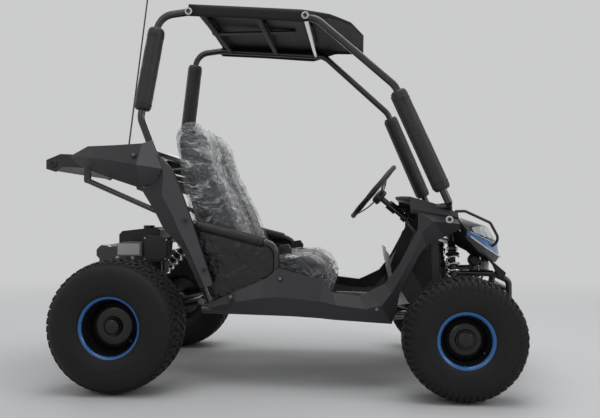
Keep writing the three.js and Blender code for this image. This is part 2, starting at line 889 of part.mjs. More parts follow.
function rackHousing() {
  const plateTop = noseRailHeight + railTube / 2 + seatGap + rackPlateWall;
  const plate = block(point(rackX - rackHousingRadius, -rackPlateHalf, plateTop - rackPlateWall),
    point(noseCrossX, rackPlateHalf, plateTop));
  const bodyEnds = [-rackHousingHalf, rackHousingHalf].map((y) => point(rackX, y, rackHeight));
  const body = rod(...bodyEnds, rackHousingRadius);
  const webHalf = rackPlateHalf - rackWebInset;
  const webs = [-1, 1].map((y) => block(
    point(rackX - rackRadius, y * webHalf - lugPlate, plateTop - rackPlateWall),
    point(rackX + rackRadius, y * webHalf + lugPlate, rackHeight),
  ));
  const stub = rod(pinion.clone().addScaledVector(shaftAxis, -pinionStub), pinion, pinionRadius);
  return [plate, body, ...webs, stub];
}

function columnSleeve() {
  const from = onColumn(columnSleeveStart);
  const to = onColumn(columnSleeveStart + columnSleeveLength);
  const middle = from.clone().lerp(to, 0.5);
  const stay = tube([middle, point(dashBarX, columnHalf, dashBarHeight)], braceTube);
  return [rod(from, to, columnSleeveRadius), stay];
}
const front = frontStructure();
add('frame_front', front, blackSteel);

const grownStruts = bothSides(strutCorners).map((corners) => grown(corners, bumperTube));
const grownScreens = bothSides(screenCorners).map((corners) => grown(corners, cageTube, screenBend));
const grownDash = grown(dashCorners, bumperTube, postBend);
add('front_hoop', cut(hoop.geometry, ...grownStruts, grownDash), blackSteel);

// Side bars, their pads and the vinyl guards that hang under them

const barShares = [[0.161, 0.288], [0.46, 0.208], [0.454, 0]];
const barHalves = [cageFootHalf - sideBarRootInset, cageFootHalf, railHalf];
const barCorners = barShares.map((share, i) => gridPoint(share, -barHalves[i]));
const [barRoot, barBend] = barCorners;
const sideBar = cut(tube(barCorners, sideBarTube, sideBarBend),
  grown(postCorners, cageTube, postBend), grownRails[0]);
addPair('side_bar', sideBar, blackSteel);

function pad(from, to, tubeDiameter, radius, round = padRound) {
  const bore = clearRadius(tubeDiameter / 2, padSegments);
  const profile = (length) => [
    [bore, 0], [radius - round, 0], [radius, round],
    [radius, length - round], [radius - round, length], [bore, length],
  ];
  return turned(from, to, profile, padSegments);
}
const between = (a, b, shareA, shareB) => [a.clone().lerp(b, shareA), a.clone().lerp(b, shareB)];
const postPadShares = [0.13, 0.92];
const screenPadShares = [0.05, 0.89];
const [, postShoulder, postKnee] = postCorners;
const [, , screenShoulder] = screenCorners;
const postPadEnds = between(postShoulder, postKnee, ...postPadShares);
const screenPadEnds = between(screenShoulder, aPostFoot, ...screenPadShares);
addPair('rear_pad', pad(...postPadEnds, cageTube, postPadRadius), padVinyl);
addPair('front_pad', pad(...screenPadEnds, cageTube, screenPadRadius), padVinyl);
const armPadEnds = between(barRoot, barBend, ...armPadShares);
addPair('arm_pad', pad(...armPadEnds, sideBarTube, armPadRadius, armPadRound), padVinyl);
const armPadRoomEnds = between(barRoot, barBend, ...armPadRoomShares);
const armPadRoom = rod(...armPadRoomEnds, armPadRadius + 2 * seatGap, padSegments);

const guardShares = [
  [[0.163, 0.286], [0.31, 0.247], [0.454, 0.203]],
  [[0.185, 0.22], [0.325, 0.205], [0.459, 0.188]],
  [[0.212, 0.145], [0.336, 0.14], [0.457, 0.13]],
  [[0.26, 0.004], [0.359, 0.002], [0.453, 0.001]],
];
const guardRows = guardShares.map((row, i) => row.map((share, j) => {
  const inner = i === 3 ? guardBulge / 2 : 0;
  const swell = j === 1 && i > 0 && i < 3 ? guardBulge : 0;
  return gridPoint(share, -cageFootHalf + inner - swell);
}));
const guard = cut(moulding(guardRows, panelWall), grown(postCorners, cageTube, postBend), grownRails[0],
  grown(barCorners, sideBarTube, sideBarBend), armPadRoom);
addPair('side_guard', guard, glossVinyl);

// Side panels: the sill, the front pillar and the side of the cowl in one creased moulding

const sillShares = [
  [[0.265, -0.001], [0.259, 0.01], [0.245, 0.018]],
  [[0.309, -0.005], [0.34, 0.029], [0.336, 0.06]],
  [[0.393, -0.011], [0.412, 0.041], [0.428, 0.103]],
  [[0.466, -0.015], [0.469, 0.046], [0.466, 0.135]],
  [[0.594, -0.023], [0.594, 0.033], [0.599, 0.101]],
  [[0.629, -0.027], [0.641, 0.022], [0.629, 0.06]],
  [[0.708, -0.032], [0.728, 0.01], [0.708, 0.05]],
  [[0.805, -0.038], [0.775, 0.022], [0.732, 0.061]],
  [[0.819, 0], [0.804, 0.061], [0.785, 0.089]],
  [[0.829, 0.061], [0.833, 0.114], [0.809, 0.122]],
  [[0.89, 0.186], [0.878, 0.204], [0.831, 0.156]],
  [[0.907, 0.209], [0.895, 0.255], [0.884, 0.262]],
  [[0.961, 0.238], [0.928, 0.286], [0.885, 0.316]],
  [[1.006, 0.262], [1.003, 0.278], [0.998, 0.294]],
];
const sillHalves = [sillEdgeHalf, sillRidgeHalf, sillTopHalf];
const sillRows = sillShares.map((row) => {
  const skin = row.map((share, j) => gridPoint(share, -sillHalves[j]));
  const lip = gridPoint(row[2], -sillLipHalf);
  lip.z -= panelWall / 2;
  return [...skin, lip];
});
const sillBossShares = [0.393, 0.76];
const sillBosses = sillBossShares.map((share) => {
  const x = gridX(share);
  const flat = railHalf + railTube / 2 * Math.cos(Math.PI / tubeSides) + seatGap;
  return rod(point(x, -flat, railAt(x)), point(x, -sillBossHalf, railAt(x)), bossRadius);
});
addPair('side_panel', cut(welded(moulding(sillRows, panelWall), ...sillBosses), grownStruts[0],
  grownDash), panelPlastic);

// Rear panels: the wing over the wheel and the cover of the rear post

const wingShares = [
  [[-0.166, 0.508], [-0.166, 0.505], [-0.169, 0.496], [-0.162, 0.474]],
  [[-0.119, 0.536], [-0.119, 0.532], [-0.085, 0.492], [-0.123, 0.454]],
  [[-0.03, 0.538], [-0.03, 0.535], [-0.03, 0.482], [-0.05, 0.425]],
  [[0.052, 0.542], [0.052, 0.54], [0.039, 0.469], [0.035, 0.396]],
  [[0.085, 0.568], [0.085, 0.566], [0.119, 0.455], [0.087, 0.408]],
];
const wingInner = [wingInnerHalf, wingInnerHalf, wingFlareHalf, wingPostHalf, wingPostHalf];
const wingUnder = [wingUnderHalf, wingUnderHalf, wingUnderHalf, wingBlendHalf, wingPostHalf];
const wingRows = wingShares.map((row, i) => {
  const halves = [wingInner[i], wingTopHalf, wingCreaseHalf, wingUnder[i]];
  return row.map((share, j) => gridPoint(share, -halves[j])).reverse();
});
const coverShares = [
  [[0.078, 0.459], [0.104, 0.5], [0.115, 0.49]],
  [[0.085, 0.41], [0.12, 0.437], [0.146, 0.451]],
  [[0.041, 0.395], [0.116, 0.367], [0.168, 0.393]],
  [[0.087, 0.316], [0.146, 0.311], [0.199, 0.304]],
  [[0.111, 0.265], [0.173, 0.245], [0.218, 0.245]],
  [[0.171, 0.197], [0.2, 0.189], [0.234, 0.196]],
  [[0.226, 0.071], [0.248, 0.073], [0.27, 0.082]],
];
const coverRows = coverShares.map((row) => {
  const halves = [wingPostHalf, coverRidgeHalf, wingTopHalf];
  const skin = row.map((share, j) => gridPoint(share, -halves[j]));
  return [...skin, gridPoint(row[2], -wingPostHalf)];
});
const coverBossShares = [0.287, 0.13];
const coverBosses = coverBossShares.map((share) => {
  const seat = onPost(gridZ(share));
  const start = seat.clone().setY(seat.y - cageTube / 2 - seatGap);
  return rod(start, seat.clone().setY(-coverBossHalf), bossRadius);
});
function wingStay() {
  const carrier = carrierCorners[0].clone().lerp(carrierCorners[1], wingStayShare);
  const top = point(carrier.x, carrier.y, gridZ(wingStayTopShare));
  return rod(point(carrier.x, carrier.y, carrier.z + braceTube / 2 + seatGap), top, bossRadius);
}
addPair('rear_panel', cut(welded(moulding(wingRows, panelWall), moulding(coverRows, panelWall),
  ...coverBosses, wingStay()), grown(barCorners, sideBarTube, sideBarBend),
  grown(postCorners, cageTube, postBend), grownCarrier), panelPlastic);

// Roof: a shallow moulded canopy with side flaps and a rounded visor

const roofShares = [
  [0.18, 1.011, 0.97, 1], [0.36, 0.997, 0.957, 1], [0.538, 0.983, 0.94, 1],
  [0.62, 0.974, 0.962, 0.9], [0.685, 0.957, 0.949, 0.74], [0.725, 0.932, 0.926, 0.46],
];
const roofRows = roofShares.map(([xShare, topShare, flapShare, wide]) => {
  const half = roofHalf * wide;
  const middle = [-0.5, 0, 0.5].map((share, j) => {
    const p = gridPoint([xShare, topShare], share * half);
    p.z += roofCrown * (j === 1 ? 1 : 0.75);
    return p;
  });
  return [
    gridPoint([xShare, flapShare], -half), gridPoint([xShare, topShare], -half), ...middle,
    gridPoint([xShare, topShare], half), gridPoint([xShare, flapShare], half),
  ];
});
const roofRibs = roofBars.map((x) => {
  const bottom = hoop.roofZ(x) + braceTube / 2 + seatGap;
  const top = gridZ(roofShares[0][1] + (roofShares[2][1] - roofShares[0][1])
    * (x - gridX(roofShares[0][0])) / (gridX(roofShares[2][0]) - gridX(roofShares[0][0])));
  const inner = roofHalf * 0.48;
  const crest = top + roofCrown * 0.62;
  return block(point(x - roofRibWidth / 2, -inner, bottom), point(x + roofRibWidth / 2, inner, crest));
});
add('roof_panel', cut(welded(moulding(roofRows, panelWall), ...roofRibs), ...grownScreens,
  ...bothSides(postCorners).map((corners) => grown(corners, cageTube, postBend))), panelPlastic);

// Cowl over the dash, and the nose with its hood, lamp faces and trim

const cowlShares = [
  [[0.861, 0.325], [0.859, 0.366], [0.842, 0.372], [0.832, 0.375]],
  [[0.919, 0.315], [0.919, 0.348], [0.919, 0.356], [0.919, 0.36]],
  [[0.964, 0.307], [0.964, 0.333], [0.964, 0.341], [0.964, 0.345]],
  [[1.002, 0.3], [1.002, 0.312], [1.002, 0.32], [1.002, 0.323]],
];
const cowlHalfShares = [1, 0.97, 0.5, 0];
const noseShares = [
  [[1.011, 0.283], [1.011, 0.298], [1.011, 0.307], [1.011, 0.311]],
  [[1.022, 0.267], [1.074, 0.274], [1.12, 0.267], [1.131, 0.268]],
  [[1.03, 0.257], [1.093, 0.228], [1.15, 0.21], [1.165, 0.205]],
  [[1.03, 0.243], [1.091, 0.2], [1.156, 0.163], [1.169, 0.159]],
  [[1.024, 0.235], [1.074, 0.184], [1.144, 0.145], [1.16, 0.141]],
];
const noseHalfShares = [1, 0.8, 0.4, 0];

// Mirrors each half row of shares to a full row across the kart
function fullRows(table, halfShares, half) {
  return table.map((row) => {
    const right = row.map((share, j) => gridPoint(share, -half * halfShares[j]));
    const left = mirrorCorners(right.slice(0, -1)).reverse();
    return [...right, ...left];
  });
}

const cowlBossShare = 0.352;
const cowlBossSideShare = 0.8;
const cowlBosses = [-1, 1].map((y) => {
  const side = y * railHalf * cowlBossSideShare;
  const height = dashBarHeight + bumperTube / 2 + seatGap;
  return rod(point(dashBarX, side, height), point(dashBarX, side, gridZ(cowlBossShare)), bossRadius);
});
add('cowl', cut(welded(moulding(fullRows(cowlShares, cowlHalfShares, cowlHalf), panelWall), ...cowlBosses),
  ...grownStruts, ...grownScreens, grownDash), panelPlastic);

const noseBars = [-1, 1].map((y) => rod(point(frontAxleX, y * noseRailHalf, towerHeight),
  gridPoint(noseBarShares, y * noseRailHalf), bossRadius));
const noseSkin = moulding(fullRows(noseShares, noseHalfShares, noseHalf), panelWall);
add('nose_panel', cut(welded(noseSkin, ...noseBars),
  grown([point(frontAxleX, -towerHalf, towerHeight), point(frontAxleX, towerHalf, towerHeight)], bumperTube),
  block(point(frontAxleX - bumperTube, -towerHalf, towerHeight - bumperTube),
    point(frontAxleX, towerHalf, towerHeight + bumperTube))), panelPlastic);

// Floor pan with the raised seat box, the toe board and the pedal brackets

const panRun = [
  [seatRearX + panelWall, seatBoxHeight], [seatBoxFrontX, seatBoxHeight],
  [seatBoxFootX, railAt(seatBoxFootX) + panelWall / 2], [floorFrontX, railAt(floorFrontX) + panelWall / 2],
  [toeStartX, toeStartHeight], [toeBendX, toeBendHeight], [toeTopX, toeTopHeight],
];
const panRows = panRun.map(([x, z]) => [point(x, -panHalf, z), point(x, panHalf, z)]);
const pedalPlaces = { throttle_pedal: throttleHalf, brake_pedal: brakeHalf };
const panLugs = Object.values(pedalPlaces).flatMap((y) => {
  const offset = pedalWidth / 2 + seatGap + lugPlate / 2;
  const pivot = point(pedalX, y, pedalPivotHeight);
  const pin = rod(point(pedalX, y - offset - lugPlate, pedalPivotHeight),
    point(pedalX, y + offset + lugPlate, pedalPivotHeight), eyePinRadius);
  const plates = [-offset, offset].map((shift) => link(
    point(pedalX, y + shift, pedalPivotHeight - pedalLugDrop), point(pedalX, pivot.y + shift, pivot.z),
    pedalBossRadius, pedalBossRadius, lugPlate, 'y',
  ));
  return [pin, ...plates];
});
add('floor_pan', welded(moulding(panRows, panelWall), ...panLugs), blackSteel);

for (const [name, y] of Object.entries(pedalPlaces)) {
  const pivot = point(pedalX, y, pedalPivotHeight);
  const top = point(pedalX - pedalLean * pedalLength, y, pedalPivotHeight + pedalLength);
  const bossSides = [y - pedalWidth / 2, y + pedalWidth / 2];
  const bossEnds = bossSides.map((side) => point(pedalX, side, pedalPivotHeight));
  const boss = pipe(...bossEnds, pedalBossRadius, clearRadius(eyePinRadius, 16));
  const foot = pivot.clone().lerp(top, 0.06);
  const arm = link(foot, top, pedalBossRadius / 2, pedalBossRadius, pedalArmWall, 'y');
  const plate = new THREE.BoxGeometry(pedalPlateWall, pedalPlateWidth, pedalPlateLength);
  plate.rotateY(-pedalLean);
  plate.translate(top.x - pedalPlateWall / 2, y, top.z);
  const boreStart = point(pedalX, y - pedalWidth, pedalPivotHeight);
  const boreEnd = point(pedalX, y + pedalWidth, pedalPivotHeight);
  const bore = rod(boreStart, boreEnd,
    clearRadius(eyePinRadius, rodSides));
  add(name, cut(welded(boss, arm, plate), bore), zinc);
}

// Seats: one crowned shell and cushion for each person

const seatShares = [
  [0, 0], [-0.218, 0.454], [-0.308, 0.72], [-0.345, 0.923], [-0.289, 0.993], [-0.197, 1],
  [-0.118, 0.923], [-0.026, 0.72], [0.145, 0.48], [0.263, 0.277], [0.329, 0.194],
  [0.671, 0.207], [0.829, 0.199], [0.947, 0.148], [1, 0.046], [0.974, 0],
];
const seatSections = [
  [-1, seatRoll], [-0.85, seatSideRoll], [-0.5, 0], [0, seatChannel], [0.5, 0], [0.85, seatSideRoll],
  [1, seatRoll],
];

function seat(y) {
  const base = seatBoxHeight + seatGap;
  const profile = seatShares.map(([x, z]) => (
    new THREE.Vector2(seatRearX + x * seatLength, base + z * seatHeight)));
  const count = profile.length;
  const inward = profile.map((p, i) => {
    const along = profile[(i + 1) % count].clone().sub(profile[(i + count - 1) % count]).normalize();
    const turn = THREE.ShapeUtils.isClockWise(profile) ? -1 : 1;
    return new THREE.Vector2(-along.y, along.x).multiplyScalar(turn);
  });
  const places = seatSections.flatMap(([across, inset]) => profile.map((p, i) => {
    const low = p.y === base;
    const z = low ? p.y : p.y + inward[i].y * inset;
    return point(p.x + inward[i].x * inset, y + across * seatWidth / 2, z);
  }));
  const triangles = [];
  for (let s = 0; s < seatSections.length - 1; s += 1) {
    for (let i = 0; i < count; i += 1) {
      const a = s * count + i;
      const b = s * count + (i + 1) % count;
      triangles.push([a, b, b + count], [a, b + count, a + count]);
    }
  }
  const cap = THREE.ShapeUtils.triangulateShape(profile, []);
  const last = (seatSections.length - 1) * count;
  const facing = THREE.ShapeUtils.isClockWise(profile) ? 1 : -1;
  for (const [a, b, c] of cap) {
    triangles.push(facing > 0 ? [a, b, c] : [a, c, b]);
    triangles.push(facing > 0 ? [last + a, last + c, last + b] : [last + a, last + b, last + c]);
  }
  return closedSurface(places, consistent(triangles));
}

// Turns faces so that neighbours agree about which way is out
function consistent(triangles) {
  const owners = new Map();
  triangles.forEach((corners, t) => corners.forEach((a, k) => {
    const b = corners[(k + 1) % 3];
    const key = a < b ? `${a} ${b}` : `${b} ${a}`;
    if (!owners.has(key)) owners.set(key, []);
    owners.get(key).push(t);
  }));
  const turnedFaces = triangles.map((corners) => [...corners]);
  const seen = new Set([0]);
  const queue = [0];
  while (queue.length) {
    const t = queue.pop();
    turnedFaces[t].forEach((a, k) => {
      const b = turnedFaces[t][(k + 1) % 3];
      const key = a < b ? `${a} ${b}` : `${b} ${a}`;
      for (const other of owners.get(key)) {
        if (seen.has(other)) continue;
        const corners = turnedFaces[other];
        const sameWay = corners.some((c, m) => c === a && corners[(m + 1) % 3] === b);
        if (sameWay) turnedFaces[other] = [corners[0], corners[2], corners[1]];
        seen.add(other);
        queue.push(other);
      }
    });
  }
  return turnedFaces;
}
add('seat_right', seat(-seatHalf), seatVinyl);
add('seat_left', seat(seatHalf), seatVinyl);

// Front arms, knuckles and tie rods

const wheelHeight = frontTyreRadius;
const yokeY = -kingpinHalf + yokeReach;

function frontArm() {
  const pieces = [];
  armPivots.forEach((x, i) => {
    const toward = i === 0 ? -1 : 1;
    const inner = point(x, -armPivotHalf, armPivotHeight);
    const outerX = frontAxleX + toward * armOuterSpread;
    const outer = point(outerX, yokeY - yokeWeb / 2, wheelHeight + armOuterRise);
    pieces.push(tube([inner, outer], armTube));
    pieces.push(rod(point(x - armBushLength / 2, -armPivotHalf, armPivotHeight),
      point(x + armBushLength / 2, -armPivotHalf, armPivotHeight), armBushRadius));
  });
  const share = (frontLowerEyeHalf - armPivotHalf) / (kingpinHalf - yokeReach - armPivotHalf);
  const crossZ = armPivotHeight + (wheelHeight + armOuterRise - armPivotHeight) * share;
  const crossSpread = armPivotSpread + (armOuterSpread - armPivotSpread) * share;
  pieces.push(tube([point(frontAxleX - crossSpread, -frontLowerEyeHalf, crossZ),
    point(frontAxleX + crossSpread, -frontLowerEyeHalf, crossZ)], armTube));
  pieces.push(...damperLugs('x', point(frontAxleX, -frontLowerEyeHalf, crossZ),
    point(frontAxleX, -frontLowerEyeHalf, frontLowerEyeHeight)));
  const half = yokeWidth / 2;
  const low = wheelHeight - yokeHalfHeight;
  const high = wheelHeight + yokeHalfHeight;
  const reach = -kingpinHalf - kingpinTubeRadius - seatGap * 10;
  const rear = frontAxleX - half;
  const fore = frontAxleX + half;
  pieces.push(block(point(rear, yokeY - yokeWeb, low - yokeEar), point(fore, yokeY, high + yokeEar)));
  pieces.push(block(point(rear, reach, high), point(fore, yokeY, high + yokeEar)));
  pieces.push(block(point(rear, reach, low - yokeEar), point(fore, yokeY, low)));
  const onKingpin = (z) => point(frontAxleX, -kingpinHalf, z);
  pieces.push(rod(onKingpin(low - yokeEar), onKingpin(high + yokeEar), kingpinRadius));
  const bores = armPivots.map((x) => rod(point(x - armBushLength, -armPivotHalf, armPivotHeight),
    point(x + armBushLength, -armPivotHalf, armPivotHeight), clearRadius(armPinRadius, rodSides)));
  return cut(welded(...pieces), ...bores);
}
addPair('front_arm', frontArm(), blackSteel);

const tieHeight = rackHeight - tieDrop;
const tieHalf = kingpinHalf - tieInset;

function knuckle() {
  const low = wheelHeight - yokeHalfHeight + seatGap;
  const high = wheelHeight + yokeHalfHeight - seatGap;
  const hubInner = -frontTrackHalf + frontHubLength / 2;
  const hubOuter = -frontTrackHalf - frontHubLength / 2;
  const centre = (y) => point(frontAxleX, y, wheelHeight);
  const armZ = wheelHeight + steerArmRise;
  const armRoot = point(frontAxleX + kingpinTubeRadius + steerArmSink, -kingpinHalf, armZ);
  const armTip = point(frontAxleX + steerArmLength, -tieHalf, armZ);
  const pieces = [
    rod(point(frontAxleX, -kingpinHalf, low), point(frontAxleX, -kingpinHalf, high), kingpinTubeRadius),
    rod(centre(-kingpinHalf - kingpinTubeRadius + spindleSink), centre(hubOuter - hubNutLength),
      spindleRadius),
    rod(centre(hubOuter - seatGap), centre(hubOuter - hubNutLength), hubNutRadius, 6),
    rod(centre(hubInner + seatGap), centre(hubInner + rimWall), hubNutRadius + hubShoulder),
    link(armRoot, armTip, spindleRadius, spindleRadius, steerArmWall, 'z'),
    rod(armTip, point(armTip.x, armTip.y, tieHeight + tieEyeWall), eyePinRadius),
    rod(armTip, armTip.clone().setZ(tieHeight - tieEyeWall / 2 - seatGap), spindleRadius),
  ];
  const boreStart = point(frontAxleX, -kingpinHalf, low - overrun);
  const boreEnd = point(frontAxleX, -kingpinHalf, high + overrun);
  const bore = rod(boreStart, boreEnd,
    clearRadius(kingpinRadius, rodSides));
  return cut(welded(...pieces), bore);
}
addPair('knuckle', knuckle(), zinc);

function tieRod() {
  const outer = point(rackX, -tieHalf, tieHeight);
  const inner = point(rackX, -tieRodEndHalf, rackHeight);
  const atHeight = (z) => outer.clone().setZ(z);
  const eye = rod(atHeight(tieHeight - tieEyeWall / 2), atHeight(tieHeight + tieEyeWall / 2), tieEyeRadius);
  const ball = new THREE.SphereGeometry(tieBallRadius, 10, 8);
  ball.translate(inner.x, -tieBallHalf, inner.z);
  const bore = rod(atHeight(tieHeight - tieEyeWall), atHeight(tieHeight + tieEyeWall),
    clearRadius(eyePinRadius, rodSides));
  return cut(welded(eye, tube([outer, inner], 2 * tieRodRadius), ball), bore);
}
addPair('tie_rod', tieRod(), zinc);

function rack() {
  const onRack = (y) => point(rackX, y, rackHeight);
  const barHalf = rackCupStart + rackCupSink;
  const bar = rod(onRack(-barHalf), onRack(barHalf), rackRadius);
  const cups = [-1, 1].map((y) => rod(onRack(y * rackCupStart), onRack(y * rackCupEnd), rackCupRadius));
  const boreEnd = rackCupEnd + overrun;
  const bores = [-1, 1].map((y) => rod(onRack(y * rackCupFloor), onRack(y * boreEnd), rackCupBore));
  return cut(welded(bar, ...cups), ...bores);
}
add('steering_rack', rack(), zinc);

// Steering wheel with its shaft, and the lower shaft

function steeringWheel() {
  const pieces = [];
  const ring = new THREE.TorusGeometry(wheelRadius, wheelGrip, 6, 24);
  pieces.push(ring);
  for (const angle of [1, 3, 5].map((k) => k * Math.PI / 3)) {
    const from = point(0, 0, -wheelDish);
    const to = point(wheelRadius * Math.cos(angle), wheelRadius * Math.sin(angle), 0);
    const run = from.distanceTo(to);
    const bar = new THREE.BoxGeometry(run, spokeWidth, spokeWall);
    bar.translate(run / 2, 0, 0);
    bar.rotateY(-Math.asin(wheelDish / run));
    bar.rotateZ(angle);
    bar.translate(from.x, from.y, from.z);
    pieces.push(bar);
  }
  const capEnds = [-wheelDish - hubCapWall, -wheelDish + hubCapWall / 2].map((z) => point(0, 0, z));
  pieces.push(rod(...capEnds, hubCapRadius, 16));
  pieces.push(rod(point(0, 0, -wheelDish), point(0, 0, -columnLength), columnRadius));
  const cupEnds = [jointCupLength - columnLength, -columnLength - 10 * seatGap].map((z) => point(0, 0, z));
  pieces.push(rod(...cupEnds, jointCupRadius));
  const mouthEnds = [jointBallRadius + seatGap, -jointCupLength].map((z) => point(0, 0, z - columnLength));
  const mouth = rod(...mouthEnds, clearRadius(jointBallRadius, rodSides));
  const turnedWheel = cut(welded(...pieces), mouth);
  const facing = columnAxis.clone().negate();
  turnedWheel.applyQuaternion(new THREE.Quaternion().setFromUnitVectors(point(0, 0, 1), facing));
  turnedWheel.translate(wheelHub.x, wheelHub.y, wheelHub.z);
  return turnedWheel;
}
add('steering_wheel', steeringWheel(), padVinyl);

function lowerShaft() {
  const end = pinion.clone().addScaledVector(shaftAxis, -pinionStub - seatGap);
  const ball = new THREE.SphereGeometry(jointBallRadius, 12, 8);
  ball.translate(joint.x, joint.y, joint.z);
  const collar = rod(end.clone().addScaledVector(shaftAxis, -hubCapWall), end, pinionCollarRadius);
  return welded(ball, rod(joint, end, lowerShaftRadius), collar);
}
add('lower_shaft', lowerShaft(), blackSteel);

// Swing arm, rear axle, engine and what they carry

const rearWheelHeight = rearTyreRadius;

function swingArm() {
  const plateLow = enginePlateHeight - enginePlateWall;
  const pieces = [block(point(enginePlateRearX, -enginePlateHalf, plateLow),
    point(enginePlateFrontX, enginePlateHalf, enginePlateHeight))];
  const boreStart = point(rearAxleX, -rearTrackHalf, rearWheelHeight);
  const boreEnd = point(rearAxleX, rearTrackHalf, rearWheelHeight);
  const bores = [rod(boreStart, boreEnd,
    clearRadius(axleRadius, 16), 16)];
  for (const y of [-1, 1]) {
    const pivot = point(pivotX, y * swingHalf, pivotHeight);
    const hub = point(rearAxleX, y * swingHalf, rearWheelHeight);
    const cheek = y * (enginePlateHalf - swingCheekWall / 2);
    pieces.push(tube([pivot, hub], swingTube));
    const spread = (centre, half) => [-half, half].map((shift) => centre.clone().setY(centre.y + shift));
    pieces.push(rod(...spread(pivot, pivotBushLength / 2), pivotBushRadius));
    pieces.push(rod(...spread(hub, bearingWidth / 2), bearingRadius, 16));
    pieces.push(sideSlab([
      [rearAxleX + bearingRadius * 0.6, rearWheelHeight + bearingRadius * 0.3],
      [enginePlateFrontX, enginePlateHeight],
      [enginePlateRearX, enginePlateHeight], [enginePlateRearX, plateLow - enginePlateWall],
      [rearAxleX - bearingRadius * 0.9, rearWheelHeight + bearingRadius * 0.2],
    ], cheek - swingCheekWall / 2, cheek + swingCheekWall / 2));
    bores.push(rod(...spread(pivot, pivotBushLength), clearRadius(pivotPinRadius, rodSides)));
  }
  const crossShare = 0.24;
  const cross = point(pivotX, 0, pivotHeight).lerp(point(rearAxleX, 0, rearWheelHeight), crossShare);
  pieces.push(crossTube(cross.x, swingHalf, cross.z, swingTube));
  pieces.push(...damperLugs('y', point(enginePlateFrontX, 0, enginePlateHeight - enginePlateWall / 2),
    point(rearLowerEyeX, 0, rearLowerEyeHeight)));
  return cut(welded(...pieces), ...bores);
}
add('swing_arm', swingArm(), blackSteel);

function rearAxle() {
  const centre = (y) => point(rearAxleX, y, rearWheelHeight);
  const across = (y, width) => [centre(y - width / 2), centre(y + width / 2)];
  const hubOuter = rearTrackHalf + rearHubLength / 2;
  const hubInner = rearTrackHalf - rearHubLength / 2;
  const pieces = [rod(centre(-hubOuter - hubNutLength), centre(hubOuter + hubNutLength), axleRadius, 16)];
  for (const y of [-1, 1]) {
    const collarRadius = axleRadius + axleCollarWall;
    const nutEnds = [centre(y * (hubOuter + seatGap)), centre(y * (hubOuter + hubNutLength))];
    pieces.push(rod(...nutEnds, collarRadius, 6));
    pieces.push(rod(centre(y * (hubInner - seatGap)), centre(y * (hubInner - rimWall)), collarRadius));
    pieces.push(rod(...across(y * sprocketHalf, carrierWidth), carrierRadius));
  }
  pieces.push(rod(...across(sprocketHalf, sprocketWall), sprocketRadius, 24));
  pieces.push(rod(...across(-sprocketHalf, sprocketWall), brakeDiscRadius, 24));
  return welded(...pieces);
}
add('rear_axle', rearAxle(), zinc);

function engine() {
  const bottom = enginePlateHeight + seatGap;
  const chamfer = finReach;
  const crank = sideSlab([
    [engineRearX, bottom], [engineFrontX, bottom],
    [engineFrontX, crankTop - chamfer], [engineFrontX - chamfer, crankTop],
    [engineRearX + chamfer, crankTop], [engineRearX, crankTop - chamfer],
  ], -engineHalf, engineHalf);
  const neckHalf = engineHalf * 0.7;
  const neck = block(point(engineNeckRearX, -neckHalf, crankTop - chamfer),
    point(engineFrontX - chamfer, neckHalf, engineTop));
  const pieces = [crank, neck];
  for (let i = 0; i < finCount; i += 1) {
    const z = crankTop + finPitch * i + finWall;
    pieces.push(block(point(engineNeckRearX - finReach, -neckHalf - finReach, z),
      point(engineFrontX - finWall, neckHalf + finReach, z + finWall)));
  }
  const coverHalf = (clutchInnerHalf + clutchOuterHalf) / 2;
  pieces.push(link(point(clutchRearX, -coverHalf, clutchCoverHeight),
    point(clutchFrontX, -coverHalf, clutchCoverHeight - clutchCoverFall),
    clutchCoverRadius, clutchCoverRadius * 0.85, clutchOuterHalf - clutchInnerHalf, 'y'));
  const mufflerEnds = [-mufflerLength / 2, mufflerLength / 2].map((y) => point(mufflerX, y, mufflerHeight));
  pieces.push(rod(...mufflerEnds, mufflerRadius));
  return welded(...pieces);
}
add('engine', engine(), castAlloy);

function fuelTank() {
  const bottom = engineTop + seatGap;
  const top = bottom + tankHeight;
  const body = sideSlab([
    [tankRearX, bottom], [tankFrontX, bottom],
    [tankFrontX, top - tankChamfer], [tankFrontX - tankChamfer, top],
    [tankRearX + tankChamfer, top - tankFall], [tankRearX, top - tankFall - tankChamfer],
  ], -tankHalf, tankHalf);
  const capX = (tankRearX + tankFrontX) / 2;
  const capTop = top + tankCapHeight - tankFall / 2;
  return welded(body, rod(point(capX, 0, top - tankFall), point(capX, 0, capTop), tankCapRadius));
}
add('fuel_tank', fuelTank(), tankBlack);

add('air_cleaner', sideSlab([
  [cleanerRearX, cleanerBottom], [cleanerFrontX, cleanerBottom], [cleanerFrontX, cleanerTop],
  [cleanerRearX + cleanerChamfer, cleanerTop], [cleanerRearX, cleanerTop - cleanerChamfer],
], -cleanerOuterHalf, -clutchOuterHalf - seatGap), cleanerPlastic);

// Dampers: a body under the upper eye, a rod on the lower eye and a spring between their seats

function leastGap(places, wire, skip) {
  let least = Infinity;
  places.forEach((a, i) => places.slice(i + skip).forEach((b) => {
    least = Math.min(least, a.distanceTo(b) - wire);
  }));
  return least;
}

class SpringPath extends BentPath {
  constructor(places) {
    super([places[0], places[places.length - 1]], 1);
    this.places = places;
  }
}

